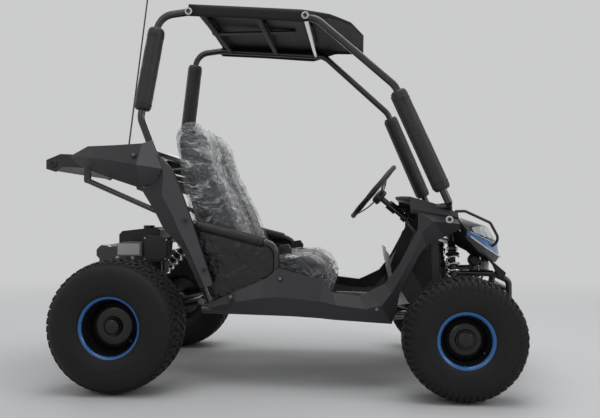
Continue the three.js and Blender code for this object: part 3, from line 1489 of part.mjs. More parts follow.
function damper(name, axis, upper, lower, springRadius, wire, curls) {
  const line = lower.clone().sub(upper);
  const length = line.length();
  line.normalize();
  const onLine = (distance) => upper.clone().addScaledVector(line, distance);
  const along = axis === 'y' ? point(0, 1, 0) : point(1, 0, 0);
  const eye = (centre) => rod(centre.clone().addScaledVector(along, -eyeWidth / 2),
    centre.clone().addScaledVector(along, eyeWidth / 2), eyeRadius);
  const hole = (centre) => rod(centre.clone().addScaledVector(along, -eyeWidth),
    centre.clone().addScaledVector(along, eyeWidth), clearRadius(eyePinRadius, rodSides));
  const seatRadius = springRadius + wire / 2;
  const upperSeat = 2 * eyeRadius;
  const lowerSeat = length - 2 * eyeRadius;
  const bodyEnd = upperSeat + 0.55 * (lowerSeat - upperSeat);
  const body = welded(
    eye(upper),
    rod(onLine(eyeRadius * 0.7), onLine(upperSeat), eyeRadius * 0.65),
    rod(onLine(upperSeat - springSeatWall / 2), onLine(bodyEnd), damperBodyRadius),
    rod(onLine(upperSeat - springSeatWall), onLine(upperSeat), seatRadius),
  );
  const boreRadius = clearRadius(damperRodRadius + damperPlay, rodSides);
  const rodBore = rod(onLine(upperSeat), onLine(bodyEnd + overrun), boreRadius);
  const rodPiece = welded(
    eye(lower),
    rod(onLine(bodyEnd - 0.4 * (bodyEnd - upperSeat)), onLine(length - eyeRadius * 0.7), damperRodRadius),
    rod(onLine(lowerSeat), onLine(lowerSeat + springSeatWall), seatRadius),
  );
  add(`${name}_body`, cut(body, rodBore, hole(upper)), blackSteel);
  add(`${name}_rod`, cut(rodPiece, hole(lower)), zinc);

  const across = new THREE.Vector3().crossVectors(line, along).normalize();
  const third = new THREE.Vector3().crossVectors(line, across).normalize();
  const stepsPerCurl = 8;
  const run = lowerSeat - upperSeat - 2 * seatGap;
  const start = onLine(upperSeat + seatGap);
  const ring = (angle, distance) => start.clone().addScaledVector(line, distance)
    .addScaledVector(across, springRadius * Math.cos(angle))
    .addScaledVector(third, springRadius * Math.sin(angle));
  const steps = curls * stepsPerCurl;
  const places = [ring(0, 0)];
  for (let i = 0; i <= steps; i += 1) {
    places.push(ring(i * 2 * Math.PI / stepsPerCurl, wire + (run - 2 * wire) * i / steps));
  }
  places.push(ring(steps * 2 * Math.PI / stepsPerCurl, run));
  console.log(`${name}_spring least gap to itself ${leastGap(places.slice(1, -1), wire, 5).toFixed(2)} mm`);
  add(`${name}_spring`, surface(solid(sweep(new SpringPath(places), wire / 2, 5))), springSteel);
}

for (const [side, y] of Object.entries(sides)) {
  damper(`front_damper_${side}`, 'x', point(frontAxleX, y * frontUpperEyeHalf, frontUpperEyeHeight),
    point(frontAxleX, y * frontLowerEyeHalf, frontLowerEyeHeight),
    frontSpringRadius, frontSpringWire, frontCurls);
}
damper('rear_damper', 'y', point(rearUpperEyeX, 0, rearUpperEyeHeight),
  point(rearLowerEyeX, 0, rearLowerEyeHeight),
  rearSpringRadius, rearSpringWire, rearCurls);

// Tail bar and flag mast

const tailShares = [
  [-0.288, 0.496], [-0.288, 0.465], [-0.257, 0.455], [-0.236, 0.471],
  [-0.164, 0.468], [-0.164, 0.512], [-0.241, 0.516],
];
add('tail_bar', cut(sideSlab(tailShares.map(([x, z]) => [gridX(x), gridZ(z)]), -tailHalf, tailHalf),
  grownCarrier), panelPlastic);

const mastTop = point(mastX + mastLean * (mastTopHeight - mastBaseHeight), 0, mastTopHeight);
const mastBase = point(mastX, 0, mastBaseHeight + seatGap);
const belowMast = block(mastBase.clone().addScalar(-mastPlateWidth),
  mastBase.clone().addScalar(mastPlateWidth).setZ(mastBase.z));
add('flag_mast', cut(welded(rod(mastBase.clone().setZ(mastBaseHeight - lugPlate), mastTop, mastRadius, 6),
  rod(mastBase, mastBase.clone().setZ(mastBase.z + ferruleHeight), ferruleRadius)), belowMast), padVinyl);

export default kart;
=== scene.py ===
# Off road go kart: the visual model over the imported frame. Metres, X forward, Y to the driver's left.
import bpy
import bmesh
import math
from mathutils import Matrix, Quaternion, Vector, noise


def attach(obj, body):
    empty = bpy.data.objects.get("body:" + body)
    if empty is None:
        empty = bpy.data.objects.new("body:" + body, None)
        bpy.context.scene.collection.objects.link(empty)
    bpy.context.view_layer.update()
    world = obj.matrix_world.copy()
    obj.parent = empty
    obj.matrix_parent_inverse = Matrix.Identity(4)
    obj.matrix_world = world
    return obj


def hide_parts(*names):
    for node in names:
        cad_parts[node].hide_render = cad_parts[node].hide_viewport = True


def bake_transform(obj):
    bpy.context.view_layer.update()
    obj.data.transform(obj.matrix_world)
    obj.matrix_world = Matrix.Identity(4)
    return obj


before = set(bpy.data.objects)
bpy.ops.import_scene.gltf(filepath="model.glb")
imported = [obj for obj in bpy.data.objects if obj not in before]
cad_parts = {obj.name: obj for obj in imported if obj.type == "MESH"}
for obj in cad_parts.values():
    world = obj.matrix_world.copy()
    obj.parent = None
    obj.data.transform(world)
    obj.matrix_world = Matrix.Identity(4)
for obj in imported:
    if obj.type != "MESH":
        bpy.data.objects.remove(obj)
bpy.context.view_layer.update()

# Shared measures. Most places are shares of the wheelbase, from the rear axle, and of the rise over the rail.
WHEELBASE = 1.046
REAR_X = -0.471
FRONT_X = REAR_X + WHEELBASE
RAIL_Z = 0.24
RISE = 0.98
SIDES = (("right", -1), ("left", 1))


def V(*c):
    return Vector(c)


def gx(share):
    return REAR_X + share * WHEELBASE


def gz(share):
    return RAIL_Z + share * RISE


def gp(share, y):
    return Vector((gx(share[0]), y, gz(share[1])))


def mir(points):
    return [Vector((p.x, -p.y, p.z)) for p in points]


def both(points):
    return [points, mir(points)]


# Camera and lamps
scene = bpy.context.scene
scene.view_settings.view_transform = "Standard"
YAW, PITCH = math.radians(4.97), math.radians(0.91)


def put_in_scene(name, data, location, look):
    """Places a camera or lamp that faces along look."""
    obj = bpy.data.objects.new(name, data)
    obj.location = location
    obj.rotation_euler = look.to_track_quat("-Z", "Y").to_euler()
    scene.collection.objects.link(obj)
    return obj


def lamp_panel(name, location, target, width, power, depth=None):
    data = bpy.data.lights.new(name, "AREA")
    data.energy = power
    data.shape = "RECTANGLE"
    data.size = width
    data.size_y = depth or width
    put_in_scene(name, data, location, V(*target) - V(*location)).visible_camera = False


lens = bpy.data.cameras.new("camera")
lens.sensor_width = 36
lens.lens = 41.4
look = V(-math.sin(YAW) * math.cos(PITCH), math.cos(YAW) * math.cos(PITCH), math.sin(PITCH))
scene.camera = put_in_scene("camera", lens, (0.274, -2.48, 0.525), look)
lamp_panel("lamp_top", (0.3, -0.2, 3.6), (0, 0, 0.4), 3.6, 56, 2.4)
lamp_panel("lamp_back", (0.3, 3.6, 2.2), (0.2, 0, 0.5), 3.0, 22, 1.6)
lamp_panel("lamp_near", (-1.6, -3.4, 2.6), (0, 0, 0.5), 1.6, 9)
lamp_panel("lamp_front", (3.2, -1.4, 1.9), (0.3, 0, 0.5), 1.2, 15)
lamp_panel("lamp_far", (-2.4, 1.6, 2.2), (0, 0, 0.5), 1.2, 7)


# Materials
class Nodes:
    """The node tree of a material or of the world, with a short call for each kind of node."""

    def __init__(self, owner):
        owner.use_nodes = True
        self.tree = owner.node_tree

    def fill(self, node, inputs):
        """Gives each named input a value, or a link from another node's output."""
        for key, value in inputs.items():
            if isinstance(value, bpy.types.NodeSocket):
                self.tree.links.new(value, node.inputs[key])
            else:
                node.inputs[key].default_value = value

    def add(self, kind, output, inputs=None, **settings):
        node = self.tree.nodes.new("ShaderNode" + kind)
        for key, value in settings.items():
            setattr(node, key, value)
        self.fill(node, inputs or {})
        return node.outputs[output]

    def noise(self, place, scale, detail, rough, distortion=0.0, output="Fac"):
        return self.add("TexNoise", output, {"Vector": place, "Scale": scale, "Detail": detail,
                                             "Roughness": rough, "Distortion": distortion})

    def remap(self, value, low, high, to_low=0.0, to_high=1.0, **settings):
        inputs = {"Value": value, "From Min": low, "From Max": high, "To Min": to_low, "To Max": to_high}
        return self.add("MapRange", "Result", inputs, **settings)

    def math(self, operation, *values, **settings):
        return self.add("Math", "Value", dict(enumerate(values)), operation=operation, **settings)

    def tint(self, a, b, share):
        return self.add("Mix", "Result", {"A": a, "B": b, "Factor": share}, data_type="RGBA")

    def normal_along(self, axis):
        return self.add("SeparateXYZ", axis, {"Vector": self.add("NewGeometry", "Normal")})

    def bump(self, height, strength, distance, under=None):
        inputs = {"Height": height, "Strength": strength, "Distance": distance}
        if under:
            inputs["Normal"] = under
        return self.add("Bump", "Normal", inputs)


def shader(name):
    m = bpy.data.materials.new(name)
    nodes = Nodes(m)
    return m, nodes, nodes.tree.nodes["Principled BSDF"]


def mat(name, color, rough, metal=0.0, vary=0.18, scale=18.0, rough_vary=0.08, grain=0.0, grain_scale=900.0,
        folds=0.0, fold_scale=14.0, coat=0.0, spec=0.5, dust_and_painted_top_light=0.0, dust_and_top_light_color=(0.3, 0.29, 0.28)):
    """Painted, moulded, cast or rubbery surface: two tones, uneven gloss, grain, folds, and pale specks on
    upward faces that are partly settled dust and partly painted top light.
    """
    m, nodes, bsdf = shader(name)
    place = nodes.add("TexCoord", "Object")
    dim, lit = ((*[min(1, c * k) for c in color], 1) for k in (1 - vary, 1 + vary))
    tone = nodes.tint(dim, lit, nodes.noise(place, scale, 6.0, 0.62))
    # Upward faces are mixed towards a pale colour in specks: partly settled dust, partly painted light on the
    # tops.
    if dust_and_painted_top_light:
        upward = nodes.remap(nodes.normal_along("Z"), 0.2, 1.0, 0.0, dust_and_painted_top_light)
        dust_and_painted_light = nodes.math("MULTIPLY", upward, nodes.noise(place, 60.0, 8.0, 0.7))
        tone = nodes.tint(tone, (*dust_and_top_light_color, 1), dust_and_painted_light)
    smear = nodes.noise(place, scale * 2.3, 5.0, 0.6)
    gloss = nodes.remap(smear, 0.0, 1.0, max(0.03, rough - rough_vary), min(1.0, rough + rough_vary))
    nodes.fill(bsdf, {"Base Color": tone, "Roughness": gloss, "Metallic": metal, "Specular IOR Level": spec,
                      "Coat Weight": coat, "Coat Roughness": 0.15})
    normal = None
    for strength, size, height, detail in ((folds, fold_scale, 0.012, 3), (grain, grain_scale, 0.0006, 2)):
        if strength:
            normal = nodes.bump(nodes.noise(place, size, detail, 0.55, 0.4), strength, height, normal)
    if normal:
        nodes.fill(bsdf, {"Normal": normal})
    return m


def clear_film():
    """Crinkled clear wrap: mostly see through, with painted white glints along its creases, and a white haze
    that thickens up top, partly where it bunches and partly as painted highlight, and on forward faces as
    painted highlight.
    """
    m, nodes, bsdf = shader("film")
    place = nodes.add("TexCoord", "Object")
    cells = nodes.noise(place, 9.0, 3.0, 0.5, output="Color")
    push = nodes.add("VectorMath", "Vector", {0: cells, "Scale": 0.11}, operation="SCALE")
    moved = nodes.add("VectorMath", "Vector", {0: place, 1: push}, operation="ADD")
    drawn = nodes.add("Mapping", "Vector", {"Vector": moved, "Rotation": (0, 0.45, 0),
                                            "Scale": (0.42, 0.5, 1.6)})

    def folded(size, width):
        from_middle = nodes.math("SUBTRACT", nodes.noise(drawn, size, 2.0, 0.55, 0.5), 0.5)
        return nodes.remap(nodes.math("ABSOLUTE", from_middle), 0.0, width, 1.0, 0.0)

    wide, narrow = folded(17.0, 0.04), folded(38.0, 0.045)
    creases = nodes.math("MULTIPLY_ADD", narrow, 0.7, wide)
    # Painted glints: the film's white colour shows along the crease lines, standing in for light caught in
    # the creases.
    glints = nodes.math("MULTIPLY", creases, nodes.remap(nodes.noise(drawn, 27.0, 4.0, 0.6), 0.44, 0.62))
    # Higher up the haze thickens: partly bunched film, partly painted highlight on the top of the seat.
    top_bunching_and_painted_highlight = nodes.remap(nodes.add("SeparateXYZ", "Z", {"Vector": place}), 0.5, 0.86, 0.2, 0.62)
    # Faces turned forward get a thicker haze, a painted highlight.
    front = nodes.remap(nodes.normal_along("X"), 0.1, 0.8, 0.85, 1.7)
    cloud = nodes.noise(drawn, 30.0, 6.0, 0.68, 0.8)
    haze_and_painted_highlight = nodes.math("MULTIPLY", nodes.math("MULTIPLY", top_bunching_and_painted_highlight, front), nodes.remap(cloud, 0.33, 0.7))
    alpha = nodes.math("MULTIPLY_ADD", glints, 0.95, haze_and_painted_highlight, use_clamp=True)
    height = nodes.math("MULTIPLY_ADD", creases, 0.6, cloud)
    nodes.fill(bsdf, {"Alpha": alpha, "Normal": nodes.bump(height, 0.9, 0.012), "Roughness": 0.14, "IOR": 1.5,
                      "Base Color": (0.78, 0.8, 0.82, 1)})
    return m


def lens_glass():
    """Clear lamp cover with fine flutes."""
    m, nodes, bsdf = shader("lens")
    flutes = nodes.add("TexWave", "Fac", {"Vector": nodes.add("TexCoord", "Object"), "Scale": 60.0})
    nodes.fill(bsdf, {"Normal": nodes.bump(flutes, 0.15, 0.001), "Base Color": (0.86, 0.9, 0.93, 1),
                      "Roughness": 0.06, "Alpha": 0.55})
    return m


# Each look: its material, and the slot of the record that it stands for.
LOOKS = {
    "steel": (mat("black_steel", (0.012, 0.012, 0.013), 0.24, grain=0.05, grain_scale=260, coat=0.5,
                  rough_vary=0.1, dust_and_painted_top_light=0.1), "black_steel"),
    "panel": (mat("panel_plastic", (0.033, 0.0325, 0.0365), 0.42, spec=0.4, grain=0.5, grain_scale=1500,
                  vary=0.1, dust_and_painted_top_light=0.12, rough_vary=0.1), "panel_plastic"),
    # A lighter, glossier copy of the panel plastic: painted highlight for facets that face the light.
    "panel_lit": (mat("panel_painted_highlight", (0.06, 0.06, 0.066), 0.3, grain=0.2, grain_scale=1500, vary=0.1,
                      dust_and_painted_top_light=0.12), "panel_plastic"),
    "roof": (mat("roof_plastic", (0.014, 0.014, 0.016), 0.6, spec=0.25, grain=0.5, grain_scale=1300,
                 dust_and_painted_top_light=0.05), "panel_plastic"),
    "pad": (mat("pad_vinyl", (0.017, 0.017, 0.018), 0.5, grain=0.5, grain_scale=1100, folds=0.3,
                fold_scale=26, dust_and_painted_top_light=0.05), "pad_vinyl"),
    "guard": (mat("guard_vinyl", (0.009, 0.009, 0.011), 0.28, folds=1.0, fold_scale=20, grain=0.2,
                  rough_vary=0.14), "pad_vinyl"),
    "seat": (mat("seat_vinyl", (0.02, 0.021, 0.024), 0.42, grain=0.6, grain_scale=1100, folds=0.15,
                 fold_scale=20), "seat_vinyl"),
    "rubber": (mat("tyre_rubber", (0.011, 0.011, 0.0118), 0.62, spec=0.28, grain=0.5, grain_scale=700,
                   vary=0.25, scale=9, dust_and_painted_top_light=0.06, dust_and_top_light_color=(0.16, 0.155, 0.15)), "tyre_rubber"),
    "rim": (mat("rim_black", (0.009, 0.009, 0.01), 0.26, coat=0.15, spec=0.35, grain=0.06, grain_scale=300,
                vary=0.3), "rim_paint"),
    "blue": (mat("rim_blue", (0.018, 0.14, 0.42), 0.26, coat=0.4, vary=0.1, grain=0.03), "rim_paint"),
    "white": (mat("paint_white", (0.74, 0.76, 0.78), 0.35, vary=0.05, grain=0.05), "zinc"),
    "zinc": (mat("zinc_plate", (0.5, 0.5, 0.49), 0.3, metal=1.0, vary=0.2, scale=70, rough_vary=0.14,
                 grain=0.12), "zinc"),
    "chrome": (mat("bright_steel", (0.8, 0.81, 0.82), 0.14, metal=1.0, vary=0.06, rough_vary=0.06),
               "spring_steel"),
    "alloy": (mat("cast_alloy", (0.075, 0.075, 0.078), 0.46, metal=0.5, vary=0.2, grain=0.7, grain_scale=420,
                  dust_and_painted_top_light=0.1), "cast_alloy"),
    "dark": (mat("dark_plastic", (0.022, 0.022, 0.024), 0.5, grain=0.4, grain_scale=1200, dust_and_painted_top_light=0.1),
             "panel_plastic"),
    "tank": (mat("tank_black", (0.016, 0.016, 0.018), 0.34, spec=0.35, grain=0.15, dust_and_painted_top_light=0.08), "tank_black"),
    "grey": (mat("grey_plastic", (0.17, 0.17, 0.175), 0.5, grain=0.4, dust_and_painted_top_light=0.12), "cleaner_plastic"),
    "pale": (mat("pale_plate", (0.6, 0.61, 0.62), 0.45, vary=0.08, grain=0.2), "cleaner_plastic"),
    "mast": (mat("mast_fibre", (0.035, 0.035, 0.037), 0.35, grain=0.1), "pad_vinyl"),
    "cable": (mat("cable_sleeve", (0.01, 0.01, 0.01), 0.45, grain=0.2), "pad_vinyl"),
    "fluid": (mat("bottle_milky", (0.66, 0.67, 0.64), 0.4, vary=0.05), "cleaner_plastic"),
    "film": (clear_film(), "seat_vinyl"),
    "lens": (lens_glass(), "cleaner_plastic"),
}

# World and floor. What is seen far off is one pale tone, and the floor keeps the shadow near the object.
PALE = (0.6, 0.603, 0.607, 1)
FLOOR_R, FLOOR_SIDES, FLOOR_Z = 13.0, 96, -0.001
FADE_FROM, FADE_TO = 1.1, 4.2


def seen_rays(nodes):
    """1 for what the camera sees straight, mirrored or through the clear films."""
    rays = nodes.tree.nodes.new("ShaderNodeLightPath").outputs
    mirrored = nodes.math("MAXIMUM", rays["Is Camera Ray"], rays["Is Glossy Ray"])
    return nodes.math("MAXIMUM", mirrored, rays["Is Transmission Ray"])


def blend_to(nodes, share, near, far, output):
    """Mixes the shader near with the shader far, and hands the mix to the tree's output node."""
    mixed = nodes.add("MixShader", "Shader", {"Fac": share, 1: near, 2: far})
    nodes.fill(nodes.tree.nodes[output], {"Surface": mixed})


scene.world = bpy.data.worlds.new("world")
sky = Nodes(scene.world)
soft_light = sky.tree.nodes["Background"]
sky.fill(soft_light, {"Color": (0.94, 0.95, 0.97, 1), "Strength": 0.3})
far_wall = sky.add("Background", "Background", {"Color": PALE, "Strength": 1.0})
blend_to(sky, seen_rays(sky), soft_light.outputs["Background"], far_wall, "World Output")

floor_paint = mat("floor_paint", (0.74, 0.745, 0.75), 0.8, vary=0.02, scale=2.0, grain=0.05)
paint = Nodes(floor_paint)
distance = paint.add("VectorMath", "Value", {0: paint.add("TexCoord", "Object")}, operation="LENGTH")
away = paint.remap(distance, FADE_FROM, FADE_TO, interpolation_type="SMOOTHSTEP")
glow = paint.add("Emission", "Emission", {"Color": PALE, "Strength": 1.0})
blend_to(paint, paint.math("MULTIPLY", away, seen_rays(paint)),
         paint.tree.nodes["Principled BSDF"].outputs["BSDF"], glow, "Material Output")
floor_mesh = bpy.data.meshes.new("floor")
turns = [2 * math.pi * k / FLOOR_SIDES for k in range(FLOOR_SIDES)]
floor_mesh.from_pydata([(FLOOR_R * math.cos(a), FLOOR_R * math.sin(a), FLOOR_Z) for a in turns], [],
                       [list(range(FLOOR_SIDES))])
floor_mesh.materials.append(floor_paint)
floor_obj = bpy.data.objects.new("floor", floor_mesh)
scene.collection.objects.link(floor_obj)


# Building shapes
def arc_path(corners, bend, steps=9):
    """Corners joined by straight runs, with a round bend at each inner corner."""
    places = [corners[0].copy()]
    for before, corner, after in zip(corners, corners[1:], corners[2:]):
        back_way = (before - corner).normalized()
        ahead = (after - corner).normalized()
        turn = math.pi - back_way.angle(ahead)
        if turn < 0.02:
            places.append(corner.copy())
            continue
        reach = bend * math.tan(turn / 2)
        centre = corner + (back_way + ahead).normalized() * (bend / math.cos(turn / 2))
        first = corner + back_way * reach - centre
        axis = back_way.cross(ahead).normalized()
        places += [centre + Quaternion(axis, -turn * step / steps) @ first for step in range(steps + 1)]
    places.append(corners[-1].copy())
    return places


def circle(count):
    """The angles of so many points round a circle."""
    return [2 * math.pi * k / count for k in range(count)]


def modifier(obj, kind, **settings):
    added = obj.modifiers.new(kind.lower(), kind)
    for key, value in settings.items():
        setattr(added, key, value)
    return added


AXES = {"x": V(1, 0, 0), "y": V(0, 1, 0), "z": V(0, 0, 1)}
WELD = 0.0002
RIM_CREASE, FOLD_CREASE, EASY_CREASE = 0.98, 0.93, 0.8
SHELL = dict(wall=0.003, bevel=0.0022, limit=9, sharp=16)


class Part:
    """Gathers the shapes of one piece, each face with a look, and makes the object."""

    def __init__(self):
        self.verts, self.faces, self.slots, self.names = [], [], [], []
        self.welded = False

    def add(self, verts, faces, name):
        if name not in self.names:
            self.names.append(name)
        base = len(self.verts)
        self.verts += [Vector(p) for p in verts]
        self.faces += [[base + i for i in face] for face in faces]
        self.slots += [self.names.index(name)] * len(faces)
        return self

    def rings(self, rings, name, closed=False, capped=()):
        """Rings of points joined into a skin; closed joins the last to the first, capped ones get a face."""
        sides = len(rings[0])
        faces = []
        for i in range(len(rings) if closed else len(rings) - 1):
            n = (i + 1) % len(rings)
            for k in range(sides):
                j = (k + 1) % sides
                faces.append([i * sides + k, i * sides + j, n * sides + j, n * sides + k])
        faces += [[i * sides + k for k in range(sides)] for i in capped]
        return self.add([p for ring in rings for p in ring], faces, name)

    def sweep(self, places, radius, name, sides=18, closed=False, flat=1.0):
        """A round or flattened bar of one radius, or of one for each place, along the places."""
        last = len(places) - 1
        tangents = []
        for i, place in enumerate(places):
            before = places[i - 1] if (i or closed) else place
            after = places[(i + 1) % (last + 1)] if (i < last or closed) else place
            tangents.append((after - before).normalized())
        side = tangents[0].orthogonal().normalized()
        if abs(tangents[0].z) < 0.95:
            side = tangents[0].cross(AXES["z"]).normalized()
        rings = []
        for i, place in enumerate(places):
            if i:
                side = tangents[i - 1].rotation_difference(tangents[i]) @ side
            up = tangents[i].cross(side).normalized()
            r = radius[i] if isinstance(radius, list) else radius
            rings.append([place + side * (r * math.cos(a)) + up * (r * flat * math.sin(a))
                          for a in circle(sides)])
        return self.rings(rings, name, closed, () if closed else (0, last))

    def tube(self, corners, radius, name="steel", bend=None, sides=18):
        return self.sweep(arc_path(corners, bend or 2.2 * radius), radius, name, sides)

    def lathe(self, a, b, profile, name, segments=32, closed=False, caps=True):
        """Profile of (radius, distance from a) pairs, turned about the line from a to b."""
        turn = AXES["z"].rotation_difference((b - a).normalized())
        rings = [[a + turn @ V(r * math.cos(t), r * math.sin(t), along) for t in circle(segments)]
                 for r, along in profile]
        ends = [i for i in (0, len(profile) - 1) if profile[i][0] > 1e-5]
        return self.rings(rings, name, closed, ends if caps and not closed else ())

    def rod(self, a, b, radius, name="zinc", segments=20, edge=0.0008):
        length = (b - a).length
        edge = min(edge, radius * 0.3, length * 0.3)
        profile = [(radius - edge, 0), (radius, edge), (radius, length - edge), (radius - edge, length)]
        return self.lathe(a, b, profile, name, segments)

    def prism(self, outline, other, name):
        """A solid between two outlines with as many points each."""
        n = len(outline)
        faces = [list(range(n)), [n + k for k in reversed(range(n))]]
        faces += [[k, n + k, n + (k + 1) % n, (k + 1) % n] for k in range(n)]
        return self.add([*outline, *other], faces, name)

    def slab(self, outline, lift, name):
        """A flat outline (points in order) given thickness by the vector lift."""
        return self.prism(outline, [Vector(p) + Vector(lift) for p in outline], name)

    def plate(self, a, b, ra, rb, thickness, axis, name="steel"):
        """Flat link with round ends between two centres."""
        normal = AXES[axis]
        along = (b - a) - normal * (b - a).dot(normal)
        along.normalize()
        across = normal.cross(along)
        half = normal * thickness / 2
        outline = []
        for centre, r, start in ((a, ra, 90), (b, rb, -90)):
            for t in (math.radians(start + k * 22.5) for k in range(9)):
                outline.append(centre + along * (r * math.cos(t)) + across * (r * math.sin(t)) - half)
        return self.slab(outline, normal * thickness, name)

    def block(self, lo, hi, name):
        x0, y0, z0 = lo
        x1, y1, z1 = hi
        return self.slab([(x0, y0, z0), (x1, y0, z0), (x1, y1, z0), (x0, y1, z0)], (0, 0, z1 - z0), name)

    def side(self, points, y0, y1, name):
        return self.slab([(x, y0, z) for x, z in points], (0, y1 - y0, 0), name)

    def grid(self, rows, name, loop=False):
        across = len(rows[0])
        faces = []
        for i in range(len(rows) - 1):
            for j in range(across if loop else across - 1):
                k = (j + 1) % across
                faces.append([i * across + j, (i + 1) * across + j, (i + 1) * across + k, i * across + k])
        return self.add([p for row in rows for p in row], faces, name)

    def bolt(self, place, out, name="zinc", r=0.0065, washer=0.011, cap=None):
        out = Vector(out).normalized()
        self.rod(place - out * 0.001, place + out * 0.0016, washer, cap or name, 20, 0.0004)
        return self.rod(place + out * 0.0014, place + out * 0.0066, r, name, 6, 0.0007)

    def mirror(self):
        other = Part()
        other.names, other.slots, other.welded = self.names, self.slots, self.welded
        other.verts = mir(self.verts)
        other.faces = [list(reversed(face)) for face in self.faces]
        return other

    def placed(self, centre, side):
        """A copy of what was built round the origin, facing right, at a wheel's centre on its own side."""
        other = Part()
        other.names, other.slots, other.faces = self.names, self.slots, self.faces
        other.verts = [centre + V(p.x, -side * p.y, p.z) for p in self.verts]
        return other

    def make(self, name, body, replaces=(), bevel=0.0, levels=0, wall=0.0, crease=None, sharp=38, limit=35):
        """Makes the object: bevel, levels and wall are modifiers, crease and sharp are angles in degrees."""
        mesh = bpy.data.meshes.new(name)
        mesh.from_pydata([tuple(p) for p in self.verts], [], self.faces)
        for look_name in self.names:
            mesh.materials.append(LOOKS[look_name][0])
        mesh.polygons.foreach_set("material_index", self.slots)
        bm = bmesh.new()
        bm.from_mesh(mesh)
        if self.welded:
            bmesh.ops.remove_doubles(bm, verts=bm.verts, dist=WELD)
        bmesh.ops.recalc_face_normals(bm, faces=bm.faces)
        if crease is not None:
            layer = bm.edges.layers.float.new("crease_edge")
            for edge in bm.edges:
                folded = edge.calc_face_angle(0) > math.radians(crease)
                edge[layer] = RIM_CREASE if edge.is_boundary else (FOLD_CREASE if folded else EASY_CREASE)
        bm.to_mesh(mesh)
        bm.free()
        mesh.shade_smooth()
        obj = bpy.data.objects.new(name, mesh)
        scene.collection.objects.link(obj)
        if levels:
            modifier(obj, "SUBSURF", levels=levels, render_levels=levels)
        if wall:
            modifier(obj, "SOLIDIFY", thickness=wall, offset=-1)
        if bevel:
            modifier(obj, "BEVEL", width=bevel, segments=2, limit_method="ANGLE",
                     angle_limit=math.radians(limit), harden_normals=True)
        if not levels:
            mesh.set_sharp_from_angle(angle=math.radians(sharp))
        if body:
            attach(obj, body)
        if replaces:
            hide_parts(*([replaces] if isinstance(replaces, str) else replaces))
        return obj


def pair(part, name, bodies, replaces=(), **options):
    """The piece on the right and its mirror image on the left."""
    made = []
    for side, y in SIDES:
        nodes = [node.replace("SIDE", side) for node in replaces]
        built = part if y < 0 else part.mirror()
        made.append(built.make(f"{name}_{side}", bodies.replace("SIDE", side), nodes, **options))
    return made


# Cage and frame tubes
TOP_HALF, CAGE_HALF, POST_FOOT = 0.264, 0.3, 0.292
post = [gp((0.18, 0.988), -TOP_HALF), gp((0.083, 0.976), -TOP_HALF), gp((0.035, 0.628), -CAGE_HALF),
        gp((0.261, 0.0), -POST_FOOT)]
screen = [gp((0.181, 0.988), -TOP_HALF), gp((0.577, 0.957), -TOP_HALF), gp((0.818, 0.724), -0.288),
          gp((0.973, 0.344), -0.325)]
CAGE_R, CROSS_R, FRAME_R = 0.012, 0.009, 0.01


def on_post(z):
    share = (z - post[2].z) / (post[3].z - post[2].z)
    return post[2].lerp(post[3], share)


def roof_z(x):
    share = (x - screen[0].x) / (screen[1].x - screen[0].x)
    return screen[0].z + (screen[1].z - screen[0].z) * share


def lugs(part, axis, root, eye, radius=0.01, offset=0.0093, pin=0.004):
    """Two plates from root to eye, offset to each side, with a pin through the eye and a bolt at each end."""
    wall = 0.004
    for s in (-1, 1):
        shift = AXES[axis] * offset * s
        part.plate(root + shift, eye + shift, radius, radius, wall, axis)
    reach = AXES[axis] * (offset + wall)
    part.rod(eye - reach, eye + reach, pin)
    for way in (-AXES[axis], AXES[axis]):
        part.bolt(eye + way * (offset + wall - 0.002), way, r=pin * 1.5, washer=pin * 2)


RAIL_R, RAIL_HALF, NOSE_HALF, NOSE_RAIL_Z = 0.014, 0.29, 0.112, 0.205
ARM_XS, ARM_EYE_Y, ARM_EYE_Z, LUG_GAP = (0.5, 0.65), -0.15, 0.21, 0.0203
rail_end = V(0.7, -NOSE_HALF, NOSE_RAIL_Z)
rail = Part().tube([V(-0.232, -RAIL_HALF, 0.24), V(0.34, -RAIL_HALF, 0.225),
                    V(0.455, -NOSE_HALF, NOSE_RAIL_Z), rail_end], RAIL_R, bend=0.06)
for x in ARM_XS:
    lugs(rail, "x", V(x, -0.119, NOSE_RAIL_Z), V(x, ARM_EYE_Y, ARM_EYE_Z), 0.011, LUG_GAP, 0.005)
pair(rail, "rail", "frame", ["frame_rail_SIDE"])

front_loop = Part()
for corners in both(screen):
    front_loop.tube(corners, CAGE_R, bend=0.07)
roof_bars = [gx(s) for s in (0.215, 0.393, 0.545)]
for x, look_name in zip(roof_bars, ("roof", "roof", "chrome")):
    front_loop.tube([V(x, -TOP_HALF, roof_z(x)), V(x, TOP_HALF, roof_z(x))], CROSS_R, look_name)
front_loop.make("front_loop", "frame", "front_hoop")

back_loop = Part()
for corners in both(post):
    back_loop.tube(corners, CAGE_R, bend=0.06)
for share in (0.515, 0.441, 0.227, 0.046):
    p = on_post(gz(share))
    back_loop.tube([p, V(p.x, -p.y, p.z)], CAGE_R)
CARRIER_X, CARRIER_HALF, CARRIER_Z = -0.64, 0.268, gz(0.484)
back_loop.tube([gp((0.075, 0.505), -0.283), V(CARRIER_X, -CARRIER_HALF, CARRIER_Z),
                V(CARRIER_X, CARRIER_HALF, CARRIER_Z), gp((0.075, 0.505), 0.283)], CROSS_R, bend=0.05)
for corners in both([gp((-0.146, 0.424), -CARRIER_HALF), gp((0.158, 0.287), -0.295)]):
    back_loop.tube(corners, CROSS_R)
    foot = corners[0]
    back_loop.plate(foot, V(foot.x, foot.y, CARRIER_Z), CROSS_R, CROSS_R, 0.018, "y")
REAR_EYE = V(-0.339, 0, 0.454)
low, high = on_post(gz(0.046)), on_post(gz(0.227))
for y in (-0.15, 0.15):
    lugs(back_loop, "y", V(low.x, y, low.z), V(-0.262, y, 0.248), 0.014, LUG_GAP, 0.006)
lugs(back_loop, "y", V(high.x, 0, high.z), REAR_EYE)
back_loop.block((CARRIER_X, -0.012, 0.712), (-0.575, 0.012, 0.716), "steel")
back_loop.make("back_loop", "frame", "rear_hoop")

